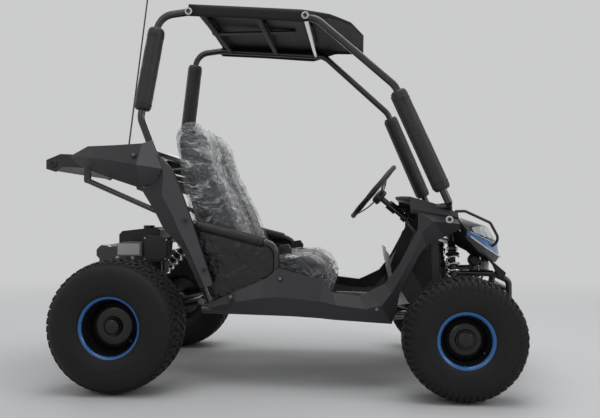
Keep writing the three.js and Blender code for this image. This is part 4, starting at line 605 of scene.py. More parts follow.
# Front structure
TOWER_Z, TOWER_HALF, UPPER_Z, BUMP_X = 0.452, 0.15, 0.348, 0.7622
DASH_X, DASH_HALF, DASH_Z = 0.48, 0.29, 0.563
FOOT_X, FOOT_Z, POST_X = 0.69, 0.212, 0.712
RACK_X, RACK_Z = 0.655, 0.246
COLUMN_FALL = math.radians(40)
FRONT_EYE_Y, FRONT_EYE_Z = 0.175, 0.43
column_axis = V(math.cos(COLUMN_FALL), 0, -math.sin(COLUMN_FALL))
hub = V(0.325, 0.15, 0.632)
joint = hub + column_axis * 0.16
pinion = V(RACK_X, 0.06, RACK_Z)
shaft_axis = (pinion - joint).normalized()
tower_top = V(FRONT_X, -TOWER_HALF, TOWER_Z)
upper_end = V(POST_X, -TOWER_HALF, UPPER_Z)
dash_start = screen[3].lerp(tower_top, 0.06)
nose = Part()
nose.tube([dash_start, V(DASH_X, -DASH_HALF, DASH_Z), V(DASH_X, DASH_HALF, DASH_Z),
           V(dash_start.x, -dash_start.y, dash_start.z)], FRAME_R, bend=0.06)
for x, half, z in ((FRONT_X, TOWER_HALF, TOWER_Z), (FOOT_X, NOSE_HALF, FOOT_Z), (BUMP_X, TOWER_HALF, 0.296),
                   (BUMP_X, TOWER_HALF, FOOT_Z)):
    nose.tube([V(x, -half, z), V(x, half, z)], FRAME_R)
for corners in (
    [V(FRONT_X, -NOSE_HALF, NOSE_RAIL_Z), tower_top],
    [screen[3], tower_top],
    [V(FRONT_X, -0.135, UPPER_Z), upper_end],
    [V(FOOT_X, -0.1, FOOT_Z), upper_end],
    [upper_end, V(BUMP_X, -TOWER_HALF, 0.325), V(BUMP_X, -TOWER_HALF, 0.195), rail_end],
):
    for run in both(corners):
        nose.tube(run, FRAME_R, bend=0.022)
for y in (-1, 1):
    lugs(nose, "x", V(FRONT_X, y * 0.154, 0.444), V(FRONT_X, y * FRONT_EYE_Y, FRONT_EYE_Z))
    nose.bolt(V(0.722, y * TOWER_HALF, UPPER_Z - 0.004), (1, 0, 0), "chrome", 0.007, 0.01)
nose.block((0.638, -0.1, 0.2195), (FOOT_X, 0.1, 0.2235), "steel")
nose.rod(V(RACK_X, -0.102, RACK_Z), V(RACK_X, 0.102, RACK_Z), 0.017, "alloy")
nose.rod(pinion - shaft_axis * 0.038, pinion, 0.015, "alloy")
nose.rod(hub + column_axis * 0.072, hub + column_axis * 0.112, 0.018, "steel")
nose.tube([hub + column_axis * 0.092, V(DASH_X, 0.15, DASH_Z)], CROSS_R)
nose.make("nose_frame", "frame", "frame_front")

side_bar = [gp((0.161, 0.288), -0.298), gp((0.46, 0.208), -0.3), gp((0.454, 0.0), -0.29)]
pair(Part().tube(side_bar, 0.011, bend=0.045), "side_tube", "frame", ["side_bar_SIDE"])


# Foam sleeves
def sleeve(a, b, radius, bore, name, node):
    """Foam sleeve in a vinyl cover with a seam, tied at both ends."""
    length = (b - a).length
    along = (b - a).normalized()
    steps, seam_steps = 26, 30
    profile = [(bore, 0.004), (bore + 0.004, 0.0), (radius * 0.8, 0.0), (radius * 0.95, 0.005)]
    for t in (i / steps for i in range(steps + 1)):
        puffed = 1.0 + 0.02 * math.sin(t * math.pi) + 0.01 * math.sin(t * 31.0) * math.sin(t * 7.0 + 1)
        profile.append((radius * puffed, 0.012 + t * (length - 0.024)))
    profile += [(radius * 0.95, length - 0.005), (radius * 0.8, length), (bore + 0.004, length),
                (bore, length - 0.004)]
    part = Part().lathe(a, b, profile, "pad", 36, closed=True)
    out = along.cross(AXES["y"]).normalized() * (radius * 1.012)
    seam = [a.lerp(b, 0.03 + 0.94 * k / seam_steps) - out for k in range(seam_steps + 1)]
    part.sweep(seam, 0.0016, "pad", 6)
    for place in (a.lerp(b, 0.08), a.lerp(b, 0.92)):
        tie = [(radius, 0), (radius * 1.035, 0.0008), (radius * 1.035, 0.0052), (radius, 0.006)]
        part.lathe(place, place + along * 0.006, tie, "cable", 30)
        end = place - AXES["y"] * radius
        part.sweep([end, end + V(0.006, -0.008, -0.002), end + V(0.016, -0.012, -0.008)], 0.0012, "cable", 6)
    for piece in pair(part, name, "frame", [node]):
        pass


def between(a, b, start, end):
    return a.lerp(b, start), a.lerp(b, end)


sleeve(*between(post[1], post[2], 0.13, 0.92), 0.0275, 0.0126, "post_sleeve", "rear_pad_SIDE")
sleeve(*between(screen[2], screen[3], 0.05, 0.89), 0.0265, 0.0126, "screen_sleeve", "front_pad_SIDE")
sleeve(*between(side_bar[0], side_bar[1], 0.165, 0.865), 0.017, 0.0114, "arm_sleeve", "arm_pad_SIDE")


# Moulded panels. Each table holds rows of (share of the wheelbase, share of the rise).
def skin_row(row, halves):
    return [gp(s, -h) for s, h in zip(row, halves)]


def fastener_set(name, rows, **options):
    """Bolts on both sides, from rows of place, direction, look, radius, washer's radius and washer's look."""
    part = Part()
    for row in rows:
        part.bolt(*row)
    pair(part, name, "frame", **options)


SILL = [
    [(0.265, -0.001), (0.259, 0.01), (0.245, 0.018)], [(0.309, -0.005), (0.34, 0.029), (0.336, 0.06)],
    [(0.393, -0.011), (0.412, 0.041), (0.428, 0.103)], [(0.466, -0.015), (0.469, 0.046), (0.466, 0.135)],
    [(0.594, -0.023), (0.594, 0.033), (0.599, 0.101)], [(0.629, -0.027), (0.641, 0.022), (0.629, 0.06)],
    [(0.708, -0.032), (0.728, 0.01), (0.708, 0.05)], [(0.805, -0.038), (0.775, 0.022), (0.732, 0.061)],
    [(0.819, 0.0), (0.804, 0.061), (0.785, 0.089)], [(0.829, 0.061), (0.833, 0.114), (0.809, 0.122)],
    [(0.89, 0.186), (0.878, 0.204), (0.831, 0.156)], [(0.907, 0.209), (0.895, 0.255), (0.884, 0.262)],
    [(0.961, 0.238), (0.928, 0.286), (0.885, 0.316)], [(1.006, 0.262), (1.003, 0.278), (0.998, 0.294)],
]
SILL_HALVES, SILL_LIP_HALF, SILL_LIP_DROP = (0.322, 0.342, 0.317), 0.3125, V(0, 0, 0.0015)
sill_rows = [skin_row(row, SILL_HALVES) + [gp(row[2], -SILL_LIP_HALF) - SILL_LIP_DROP] for row in SILL]
pair(Part().grid(sill_rows, "panel"), "sill_panel", "frame", ["side_panel_SIDE"], **SHELL)
fastener_set("sill_bolts", [
    (V(-0.13, -0.341, 0.2835), (0, -1, 0.25), "grey", 0.0055, 0.01, "cable"),
    (V(0.024, -0.326, 0.34), (0, -1, 0.25), "grey", 0.0055, 0.01, "cable"),
    (V(0.325, -0.339, 0.2495), (0, -1, 0.25), "grey", 0.0055, 0.01, "cable"),
    (gp((0.973, 0.292), -0.338), (0, -1, 0.2), "cable", 0.0065, 0.0115, "white"),
])

WING = [
    [(-0.166, 0.508), (-0.166, 0.505), (-0.169, 0.496), (-0.162, 0.474)],
    [(-0.119, 0.536), (-0.119, 0.532), (-0.085, 0.492), (-0.123, 0.454)],
    [(-0.03, 0.538), (-0.03, 0.535), (-0.03, 0.482), (-0.05, 0.425)],
    [(0.052, 0.542), (0.052, 0.54), (0.039, 0.469), (0.035, 0.396)],
    [(0.081, 0.551), (0.081, 0.549), (0.119, 0.455), (0.087, 0.408)],
]
WING_IN = (0.262, 0.262, 0.268, 0.318, 0.318)
WING_UNDER = (0.29, 0.29, 0.29, 0.304, 0.318)
wing_rows = [skin_row(row, (inner, 0.338, 0.356, under))
             for row, inner, under in zip(WING, WING_IN, WING_UNDER)]
# The wing's front strip takes the lighter panel copy as a painted highlight.
wing = Part().grid(wing_rows[:4], "panel").grid(wing_rows[3:], "panel_lit")
COVER = [
    [(0.078, 0.459), (0.104, 0.5), (0.115, 0.49)], [(0.085, 0.41), (0.12, 0.437), (0.146, 0.451)],
    [(0.041, 0.395), (0.116, 0.367), (0.168, 0.393)], [(0.087, 0.316), (0.146, 0.311), (0.199, 0.304)],
    [(0.111, 0.265), (0.173, 0.245), (0.218, 0.245)], [(0.171, 0.197), (0.2, 0.189), (0.234, 0.196)],
    [(0.226, 0.071), (0.248, 0.073), (0.27, 0.082)],
]
cover_rows = [skin_row([*row, row[2]], (0.318, 0.346, 0.338, 0.318)) for row in COVER]
# The cover's middle facet takes the lighter panel copy as a painted highlight.
cover = Part()
for start, look_name in enumerate(("panel", "panel_lit", "panel")):
    cover.grid([row[start:start + 2] for row in cover_rows], look_name)
for part, name in ((wing, "wing_panel"), (cover, "post_cover")):
    part.welded = True
    pair(part, name, "frame", ["rear_panel_SIDE"], **SHELL)
# The washers under the two trim bolts take the lighter panel copy, a painted highlight.
fastener_set("cover_trim", [
    (V(-0.2755, -0.3445, 0.5235), (0, -1, 0), "cable", 0.006, 0.0105, "panel_lit"),
    (V(-0.2145, -0.342, 0.368), (0, -1, 0), "cable", 0.006, 0.0105, "panel_lit"),
    (gp((0.03, 0.5), -0.352), (0, -1, 0.5), "grey", 0.005, 0.009, "cable"),
], bevel=0.0006)

inner = Part()
inner.side([(0.388, 0.33), (0.44, 0.48), (0.497, 0.538), (0.516, 0.53), (0.524, 0.3), (0.452, 0.262),
            (0.424, 0.266)], -0.2805, -0.2825, "dark")
inner.side([(0.43, 0.38), (0.456, 0.455), (0.494, 0.5), (0.5, 0.34), (0.47, 0.31)], -0.2825, -0.2845,
           "roof")
inner.bolt(V(0.482, -0.2845, 0.44), (0, -1, 0), "cable", 0.005, 0.009)
pair(inner, "inner_guard", "frame", bevel=0.0008)
label = Part().side([(0.439, 0.44), (0.468, 0.415), (0.404, 0.329), (0.382, 0.354)], 0.3135, 0.3147, "pale")
label.make("bare_label", "frame", bevel=0.0004)

# Roof. Rows of share of the wheelbase, rise of the top, rise of the flaps' edge, and share of the width.
ROOF = [(0.18, 1.011, 0.97, 1), (0.36, 0.997, 0.957, 1), (0.538, 0.983, 0.94, 1), (0.62, 0.974, 0.962, 0.9),
        (0.685, 0.957, 0.949, 0.74), (0.725, 0.932, 0.926, 0.46)]
ROOF_HALF, CROWN = 0.28, 0.008
rows = []
for share, top, flap, wide in ROOF:
    half = ROOF_HALF * wide
    row = [gp((share, flap), -half), gp((share, top), -half)]
    for s in (-0.5, 0.0, 0.5):
        row.append(gp((share, top), s * half) + V(0, 0, CROWN * (0.75 if s else 1)))
    rows.append(row + [gp((share, top), half), gp((share, flap), half)])
Part().grid(rows, "roof").make("roof_skin", "frame", "roof_panel", levels=2, wall=0.003, crease=30)
ribs = Part()
for x in roof_bars:
    z = roof_z(x) + 0.0093
    ribs.block((x - 0.012, -0.134, z), (x + 0.012, 0.134, z + 0.014), "roof")
spine_z = roof_z(-0.1)
ribs.block((gx(0.2), -0.016, spine_z + 0.008), (gx(0.49), 0.016, spine_z + 0.014), "roof")
for share in ((0.18, 0.986), (0.545, 0.9625)):
    for y in (-1, 1):
        ribs.bolt(gp(share, y * 0.2795), (0, y, 0), "cable", 0.0068, 0.0122, "white")
ribs.make("roof_ribs", "frame", bevel=0.001)

# Cowl and nose. Each row runs from the side to the middle, at the given shares of the half width.
COWL = [
    [(0.861, 0.325), (0.859, 0.366), (0.842, 0.372), (0.832, 0.375)],
    [(0.919, 0.315), (0.919, 0.348), (0.919, 0.356), (0.919, 0.36)],
    [(0.964, 0.307), (0.964, 0.333), (0.964, 0.341), (0.964, 0.345)],
    [(1.002, 0.3), (1.002, 0.312), (1.002, 0.32), (1.002, 0.323)],
]
COWL_SHARES, COWL_HALF, SKIRT = (0.984, 1, 0.97, 0.5, 0), 0.318, 0.011
NOSE = [
    [(1.011, 0.283), (1.011, 0.298), (1.011, 0.307), (1.011, 0.311)],
    [(1.022, 0.267), (1.074, 0.274), (1.12, 0.267), (1.131, 0.268)],
    [(1.03, 0.257), (1.093, 0.228), (1.15, 0.21), (1.165, 0.205)],
    [(1.03, 0.243), (1.091, 0.2), (1.156, 0.163), (1.169, 0.159)],
    [(1.024, 0.235), (1.074, 0.184), (1.144, 0.145), (1.16, 0.141)],
]
NOSE_SHARES, NOSE_WIDE = (1, 0.8, 0.4, 0), 0.3
BAND_CREASE, SOFT_CREASE = 0.9, 0.6


def full_rows(table, shares, half):
    """Both sides of each row, from the right to the left."""
    rights = [skin_row(row, [half * s for s in shares]) for row in table]
    return [right + mir(right[-2::-1]) for right in rights]


skirted = [[(row[0][0], row[0][1] - SKIRT)] + row for row in COWL]
cowl = Part().grid(full_rows(skirted, COWL_SHARES, COWL_HALF), "panel")
cowl.make("cowl_skin", "frame", "cowl", **SHELL)


def nose_skin():
    """Soft skin in four bands, creased where the bands meet and at its rim, with a plain underside."""
    rows = full_rows(NOSE, NOSE_SHARES, NOSE_WIDE)
    skin = Part()
    for i, look_name in enumerate(("panel", "rim", "blue", "panel")):
        skin.grid(rows[i:i + 2], look_name)
    skin.names.append("roof")
    underside = len(skin.names)
    hood = skin.make("nose_skin", "frame", "nose_panel")
    bm = bmesh.new()
    bm.from_mesh(hood.data)
    bmesh.ops.remove_doubles(bm, verts=bm.verts, dist=WELD)
    bmesh.ops.recalc_face_normals(bm, faces=bm.faces)
    if sum(f.normal.z + f.normal.x for f in bm.faces) < 0:
        bmesh.ops.reverse_faces(bm, faces=bm.faces)
    layer = bm.edges.layers.float.new("crease_edge")
    for edge in bm.edges:
        bands = {f.material_index for f in edge.link_faces}
        inner_crease = BAND_CREASE if len(bands) > 1 else SOFT_CREASE
        edge[layer] = RIM_CREASE if edge.is_boundary else inner_crease
    bm.to_mesh(hood.data)
    bm.free()
    hood.data.shade_smooth()
    modifier(hood, "SUBSURF", levels=2, render_levels=2)
    modifier(hood, "SOLIDIFY", thickness=0.003, offset=-1, material_offset=underside)


def nose_at(row, share):
    """Point on the nose between two rows, at a share of its half width on the right."""
    i, t = int(row), row - int(row)

    def along(r):
        pts = skin_row(NOSE[r], [NOSE_WIDE * s for s in NOSE_SHARES])
        for p, q, outer, inner in zip(pts, pts[1:], NOSE_SHARES, NOSE_SHARES[1:]):
            if outer >= share >= inner:
                return p.lerp(q, (outer - share) / (outer - inner))
        return pts[-1]

    return along(i).lerp(along(min(i + 1, len(NOSE) - 1)), t)


nose_skin()
lamp = Part()
proud = V(0.75, -0.45, 0.35)
lens_shares = (0.93, 0.86, 0.78, 0.7, 0.6, 0.52, 0.46)
lamp.grid([[nose_at(row, s) + proud * (0.003 + 0.005 * math.sin(math.pi * k / 6))
            for k, s in enumerate(lens_shares)] for row in (1.12, 1.4, 1.7, 1.9)], "lens")
for share, r in ((0.8, 0.018), (0.6, 0.02)):
    c = nose_at(1.5, share) + proud * 0.0015
    lamp.lathe(c - proud * 0.006, c, [(0.002, 0), (r * 0.6, 0.001), (r, 0.0062), (r * 1.1, 0.0066)],
               "chrome", 24)
pair(lamp, "lamp", "frame", levels=1)
line = Part()
steps = (0.97, 0.9, 0.8, 0.7, 0.6, 0.5, 0.4, 0.3, 0.2, 0.1)
for row, lift, r in ((2.02, 0.0018, 0.0014), (2.97, 0.0024, 0.0026)):
    line.sweep([nose_at(row, s) + proud * lift for s in steps], r, "white", 8)
pair(line, "nose_line", "frame")
low, high = nose_at(3.7, 0.83) + V(0.002, 0, 0.004), nose_at(3.9, 0.56) + V(-0.004, 0, 0.002)
outlines = [[low + V(0, a, 0), high + V(0, b, 0), V(0.75, -0.172 + b * 0.6, 0.352),
             V(0.744, -0.166 + b * 0.6, 0.333), V(0.727, -0.168 + a * 0.6, 0.336), V(0.706, -0.19 + a, 0.378)]
            for a, b in ((0.0, 0.0), (0.028, 0.022))]
pair(Part().prism(*outlines, "roof"), "nose_fang", "frame", bevel=0.002, limit=20)

# Guards under the side bars
GUARD = [[(0.163, 0.286), (0.31, 0.247), (0.454, 0.203)], [(0.185, 0.22), (0.325, 0.205), (0.459, 0.188)],
         [(0.212, 0.145), (0.336, 0.14), (0.457, 0.13)], [(0.26, 0.004), (0.359, 0.002), (0.453, 0.001)]]
GUARD_STEPS = 28


def guard_point(u, v):
    """Place on the guard: u from the post to the front leg, v from the side bar down to the rail."""
    r, c = min(int(v * 3), 2), min(int(u * 2), 1)
    a, b = (gp(row[c], 0).lerp(gp(row[c + 1], 0), u * 2 - c) for row in GUARD[r:r + 2])
    p = a.lerp(b, v * 3 - r)
    bulge = 0.0045 * math.sin(math.pi * u) * math.sin(math.pi * v)
    folds = 0.003 * noise.noise(V(u * 5, v * 3.0, 0.3)) + 0.0016 * noise.noise(V(u * 11 + v * 6, v * 4, 2.1))
    p.y = -0.3005 - bulge - folds * min(1, 5 * min(u, 1 - u, v, 1 - v)) + (0.0035 if v > 0.97 else 0)
    return p


shares = [k / GUARD_STEPS for k in range(GUARD_STEPS + 1)]
guard = Part().grid([[guard_point(u, v) for u in shares] for v in shares], "guard")
for piece in pair(guard, "side_guard_vinyl", "frame", ["side_guard_SIDE"], wall=0.0018, levels=1):
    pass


# Wheels
SINK, BLOCK_TAPER, OUTER_LIFT, OUTER_FROM = -0.003, 0.8, 0.85, 0.4
BAR_SPAN, BAR_TAPER, BAR_SINK = 0.27, 0.72, 0.002


def tread_blocks(part, ring, R, W, count, rows, depth):
    """Blocks standing on the crown, from rows of place, width, length, lean and shift."""
    crown = sorted(((y, r) for r, y in ring[9:-9]), key=lambda q: q[0])
    edge = 0.492 * W

    def surface(y):
        for (y0, r0), (y1, r1) in zip(crown, crown[1:]):
            if y0 <= y <= y1:
                return r0 + (r1 - r0) * (y - y0) / max(1e-9, y1 - y0)
        return crown[0][1]

    for k in range(count):
        for y_mid, wide, length, lean, shift in rows:
            outer = abs(y_mid) >= OUTER_FROM
            t0 = 2 * math.pi * (k + shift) / count
            span = math.pi / count * length
            outlines = []
            for grow, lift in ((1, SINK), (BLOCK_TAPER, depth * (OUTER_LIFT if outer else 1))):
                outline = []
                for sy, st in ((-1, -1), (1, -1), (1, 1), (-1, 1)):
                    y = (y_mid + sy * wide / 2 * (1 if outer else grow)) * W
                    y = max(-edge, min(edge, y))
                    t = t0 + st * span * grow + lean * sy * span
                    r = min(R, surface(y) + lift)
                    outline.append(V(r * math.cos(t), y, r * math.sin(t)))
                outlines.append(outline)
            part.prism(*outlines, "rubber")


def shoulder_bars(part, path, R, count, depth):
    """Bars down both shoulders, from the path of (radius, place across) down to where they end."""
    span = 2 * math.pi / count * BAR_SPAN
    for k in range(count):
        for sign, shift in ((-1, 0.0), (1, 0.5)):
            t0 = 2 * math.pi * (k + shift) / count
            stations = []
            for i, (r, y) in enumerate(path[:-2]):
                rise = depth * 0.75 * min(1.0, 0.25 + 0.4 * i)
                ahead, behind = path[i + 1], path[max(0, i - 1)]
                out = V(behind[1] - ahead[1], ahead[0] - behind[0], 0).normalized() * rise
                foot, top = (r - BAR_SINK, y - BAR_SINK), (min(R, r + abs(out.x)), y + abs(out.y))
                station = []
                for (radius, place), wide in ((foot, 1), (top, BAR_TAPER), (top, -BAR_TAPER), (foot, -1)):
                    t = t0 + wide * span
                    station.append(V(radius * math.cos(t), sign * place, radius * math.sin(t)))
                stations.append(station)
            part.rings(stations, "rubber", capped=(0, len(stations) - 1))


# Half of the carcass's outline: share of the way up from the bead, and share of the width.
CARCASS = [(0, 0.385), (0.03, 0.405), (0.06, 0.435), (0.14, 0.462), (0.24, 0.48), (0.34, 0.49),
           (0.345, 0.494), (0.365, 0.494), (0.37, 0.491), (0.5, 0.494), (0.62, 0.49), (0.74, 0.474),
           (0.84, 0.445), (0.91, 0.405), (0.955, 0.345), (0.98, 0.24), (0.995, 0.12), (1, 0)]


def tyre(R, W, bead, blocks, rows, depth, bars, bars_from):
    """Carcass with blocks and shoulder bars; bars_from is the share of R where the bars start."""
    rise = R - depth - bead
    half = [(bead + up * rise, y * W) for up, y in CARCASS]
    ring = half + [(r, -y) for r, y in half[-2::-1]]
    part = Part().lathe(V(0, 0, 0), AXES["y"], ring, "rubber", 96, closed=True)
    tread_blocks(part, ring, R, W, blocks, rows, depth)
    path = [(r, y) for r, y in half if r >= bars_from * R] + [half[-1]]
    shoulder_bars(part, path, R, bars, depth)
    return part


def rim(bead, flange, lip, disc, hub_end):
    """Steel rim: lip is the outer lip's distance from the middle, disc the face's, hub_end the hub's."""
    part = Part()
    well = flange - 0.017
    shells = (
        ([(bead - 0.0005, -lip + 0.006), (flange, -lip + 0.001), (flange, -lip - 0.001),
          (well + 0.004, -lip - 0.002), (bead - 0.006, -lip + 0.012), (bead - 0.01, -disc * 0.6),
          (bead - 0.014, disc - 0.03), (bead - 0.012, disc - 0.012), (bead - 0.016, disc - 0.006),
          (bead - 0.024, disc - 0.003), (bead - 0.028, disc + 0.003), (bead - 0.036, disc + 0.006),
          (0.034, disc + 0.009), (0.029, disc + 0.008), (0.026, disc + 0.004), (0.0245, disc + 0.006),
          (0.0235, hub_end - 0.002), (0.0215, hub_end),
          (0.012, hub_end), (0.012, -hub_end), (0.024, -hub_end), (0.024, disc - 0.01),
          (bead - 0.034, disc - 0.008), (bead - 0.01, disc - 0.014)], "rim", 64, False),
        ([(bead - 0.01, disc - 0.014), (bead - 0.0045, disc - 0.004), (bead - 0.0045, lip - 0.016),
          (bead - 0.0005, lip - 0.008), (flange - 0.002, lip - 0.002), (flange, lip)], "rim", 64, False),
        ([(flange - 0.0006, lip - 0.0016), (flange, lip + 0.0005), (flange - 0.0015, lip + 0.002),
          (flange - 0.004, lip + 0.0025), (flange - 0.01, lip + 0.001), (well, lip - 0.004),
          (well - 0.0006, lip - 0.0065)], "blue", 80, False),
        ([(well - 0.0006, lip - 0.0065), (bead - 0.008, lip - 0.02), (bead - 0.01, disc + 0.006),
          (bead - 0.014, disc - 0.002)], "rim", 64, False),
        ([(0.0247, disc + 0.0075), (0.0285, disc + 0.0105), (0.0275, disc + 0.0125), (0.024, disc + 0.012)],
         "rim", 40, True),
        ([(0.0238, hub_end - 0.004), (0.0238, hub_end + 0.0085), (0.0215, hub_end + 0.0115),
          (0.014, hub_end + 0.0135), (0.001, hub_end + 0.014)], "rim", 32, False),
    )
    for profile, look_name, segments, closed in shells:
        part.lathe(V(0, 0, 0), -AXES["y"], profile, look_name, segments, closed, caps=False)
    valve = V(bead - 0.016, -disc, 0)
    valve.rotate(Quaternion(AXES["y"], 0.6))
    part.rod(valve + AXES["y"] * 0.002, valve - AXES["y"] * 0.02, 0.0032, "cable", 12)
    return part


FRONT_ROWS = [(-0.43, 0.13, 0.42, 0.0, 0.0), (-0.26, 0.15, 0.56, 0.25, 0.5), (-0.09, 0.14, 0.5, -0.2, 0.0),
              (0.09, 0.14, 0.5, 0.2, 0.5), (0.26, 0.15, 0.56, -0.25, 0.0), (0.43, 0.13, 0.42, 0.0, 0.5)]
REAR_ROWS = [(-0.44, 0.11, 0.5, 0.0, 0.0), (-0.33, 0.09, 0.55, 0.3, 0.5), (-0.2, 0.11, 0.6, -0.3, 0.0),
             (-0.07, 0.1, 0.55, 0.2, 0.5), (0.07, 0.1, 0.55, -0.2, 0.0), (0.2, 0.11, 0.6, 0.3, 0.5),
             (0.33, 0.09, 0.55, -0.3, 0.0), (0.44, 0.11, 0.5, 0.0, 0.5)]
FRONT_R, REAR_R = 0.181, 0.203
FRONT_BEAD, REAR_BEAD = 0.078, 0.089
WHEELS = (("front", V(FRONT_X, 0.427, FRONT_R), "front_wheel_SIDE"),
          ("rear", V(REAR_X, 0.4, REAR_R), "rear_axle"))
WHEEL_PARTS = (
    ("tread", "tyre", 30, tyre(FRONT_R, 0.146, FRONT_BEAD, 46, FRONT_ROWS, 0.007, 56, 0.8),
     tyre(REAR_R, 0.2, REAR_BEAD, 50, REAR_ROWS, 0.006, 76, 0.9)),
    ("rim", "rim", 50, rim(FRONT_BEAD, 0.09, 0.06, 0.0302, 0.035),
     rim(REAR_BEAD, 0.103, 0.082, 0.0363, 0.047)),
)
for side, y in SIDES:
    for kind, node, sharp, *parts in WHEEL_PARTS:
        for part, (end, centre, body) in zip(parts, WHEELS):
            built = part.placed(V(centre.x, y * centre.y, centre.z), y)
            rides = body.replace("SIDE", side)
            built.make(f"{end}_{kind}_{side}", rides, f"{node}_{end}_{side}", sharp=sharp)


# Front arms, knuckles and dampers, built on the right
KING_Y, YOKE_HALF, YOKE_WALL = 0.34, 0.036, 0.005
ARM_END_Y = 0.317
FOOT_Y, FRONT_FOOT_Z = 0.262, 0.222
ROD_Z = 0.24
COIL_TURNS = 7.5
arm_end_z = FRONT_R + 0.006


def ahead(offset, y, z):
    """A place on the right at an offset ahead of the front axle."""
    return V(FRONT_X + offset, -y, z)


arm = Part()
for x, s in zip(ARM_XS, (-1, 1)):
    arm.tube([V(x, ARM_EYE_Y, ARM_EYE_Z), ahead(s * 0.015, ARM_END_Y, arm_end_z)], CROSS_R)
    arm.rod(V(x - 0.018, ARM_EYE_Y, ARM_EYE_Z), V(x + 0.018, ARM_EYE_Y, ARM_EYE_Z), 0.011, "steel")
share = (FOOT_Y + ARM_EYE_Y) / (KING_Y - 0.026 + ARM_EYE_Y)
cross_z = ARM_EYE_Z + (arm_end_z - ARM_EYE_Z) * share
spread = 0.075 + (0.015 - 0.075) * share
arm.tube([ahead(-spread, FOOT_Y, cross_z), ahead(spread, FOOT_Y, cross_z)], CROSS_R)
lugs(arm, "x", ahead(0, FOOT_Y, cross_z), ahead(0, FOOT_Y, FRONT_FOOT_Z))
for y, low, high in ((0.32, -YOKE_HALF, YOKE_HALF), (0.356, YOKE_HALF - YOKE_WALL, YOKE_HALF),
                     (0.356, -YOKE_HALF, YOKE_WALL - YOKE_HALF)):
    arm.block(ahead(-0.019, y, FRONT_R + low), ahead(0.019, 0.314, FRONT_R + high), "steel")
arm.rod(ahead(0, KING_Y, FRONT_R - YOKE_HALF), ahead(0, KING_Y, FRONT_R + YOKE_HALF), 0.006)
arm.bolt(ahead(0, KING_Y, FRONT_R + YOKE_HALF), AXES["z"], "zinc", 0.008, 0.01)
pair(arm, "lower_arm", "front_arm_SIDE", ["front_arm_SIDE"], bevel=0.0006)

stud = V(RACK_X, -0.335, FRONT_R + 0.014)
upright = Part()
upright.lathe(ahead(0, KING_Y, FRONT_R - 0.0305), ahead(0, KING_Y, FRONT_R + 0.0305),
              [(0.0066, 0), (0.013, 0), (0.013, 0.061), (0.0066, 0.061)], "steel", 28, closed=True)
upright.rod(ahead(0, 0.35, FRONT_R), ahead(0, 0.4695, FRONT_R), 0.0079)
upright.rod(ahead(0, 0.4625, FRONT_R), ahead(0, 0.469, FRONT_R), 0.013, "zinc", 6, 0.001)
upright.rod(ahead(0, 0.3915, FRONT_R), ahead(0, 0.388, FRONT_R), 0.016)
upright.plate(ahead(0.017, KING_Y, stud.z), stud, 0.01, 0.008, 0.008, "z")
upright.rod(stud, V(stud.x, stud.y, 0.2345), 0.008, "steel")
upright.rod(V(stud.x, stud.y, 0.234), V(stud.x, stud.y, 0.2495), 0.004)
pair(upright, "upright", "knuckle_SIDE", ["knuckle_SIDE"], bevel=0.0005)

track = Part()
track.rod(V(stud.x, stud.y, ROD_Z - 0.0045), V(stud.x, stud.y, ROD_Z + 0.0045), 0.01, "zinc")
track.tube([V(RACK_X, -0.327, ROD_Z), V(RACK_X, -0.156, 0.2457)], 0.005, "zinc")
track.lathe(V(RACK_X, -0.163, 0.2455), V(RACK_X, -0.146, RACK_Z),
            [(0.0055, 0), (0.0062, 0.004), (0.0064, 0.01), (0.004, 0.0162)], "zinc", 20)
track.rod(V(RACK_X, -0.318, 0.2404), V(RACK_X, -0.3, 0.241), 0.0075, "zinc", 6)
pair(track, "track_rod", "tie_rod_SIDE", ["tie_rod_SIDE"])


def damper(name, axis, upper, lower, radius, wire, bodies):
    """Coil over damper from its upper eye to its lower one: top on the first body, rod on the second."""
    line = (lower - upper).normalized()
    length = (lower - upper).length
    seat_r = radius + wire / 2
    end = 0.02 + 0.55 * (length - 0.04)
    eye = [(0.0045, 0), (0.009, 0), (0.01, 0.001), (0.01, 0.013), (0.009, 0.014), (0.0045, 0.014)]
    half_eye = AXES[axis] * 0.007

    def at(distance):
        return upper + line * distance

    top = Part().lathe(upper - half_eye, upper + half_eye, eye, "steel", 28, closed=True)
    top.rod(at(0.007), at(0.017), 0.0065, "steel")
    shell = [(0.009, 0), (seat_r - 0.001, 0.0012), (seat_r, 0.0025), (seat_r, 0.0042), (0.01, 0.005),
             (0.0094, 0.012), (0.0094, end - 0.019), (0.0086, end - 0.0155), (0.0062, end - 0.015)]
    top.lathe(at(0.015), at(end), shell, "dark", 32)
    top.make(f"{name}_top", bodies[0], f"{name}_body")
    rod = Part().lathe(lower - half_eye, lower + half_eye, eye, "steel", 28, closed=True)
    rod.rod(at(end - 0.03), at(length - 0.008), 0.005, "chrome")
    cup = [(0.0055, 0), (seat_r - 0.001, 0), (seat_r, 0.001), (seat_r, 0.003), (0.01, 0.0045), (0.007, 0.008)]
    rod.lathe(at(length - 0.02), at(length - 0.012), cup, "dark", 32)
    rod.make(f"{name}_low", bodies[1], f"{name}_rod")
    start, stop = at(0.0246), at(length - 0.0218)
    turn = AXES["z"].rotation_difference(line)
    steps = int(COIL_TURNS * 20)
    places = []
    for t in (i / steps for i in range(steps + 1)):
        a = 2 * math.pi * COIL_TURNS * t
        along = wire / 2 + ((stop - start).length - wire) * t
        places.append(start + turn @ V(radius * math.cos(a), radius * math.sin(a), along))
    coil = Part().sweep(places, wire / 2, "chrome", 10)
    coil = coil.make(f"{name}_coil", None, f"{name}_spring", sharp=60)
    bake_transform(coil)


for side, y in SIDES:
    name = f"front_damper_{side}"
    damper(name, "x", V(FRONT_X, y * FRONT_EYE_Y, FRONT_EYE_Z), V(FRONT_X, y * FOOT_Y, FRONT_FOOT_Z), 0.02,
           0.0055, (name, f"front_damper_rod_{side}"))
damper("rear_damper", "y", REAR_EYE, V(-0.487, 0, 0.295), 0.022, 0.0065, ("rear_damper", "rear_damper_rod"))

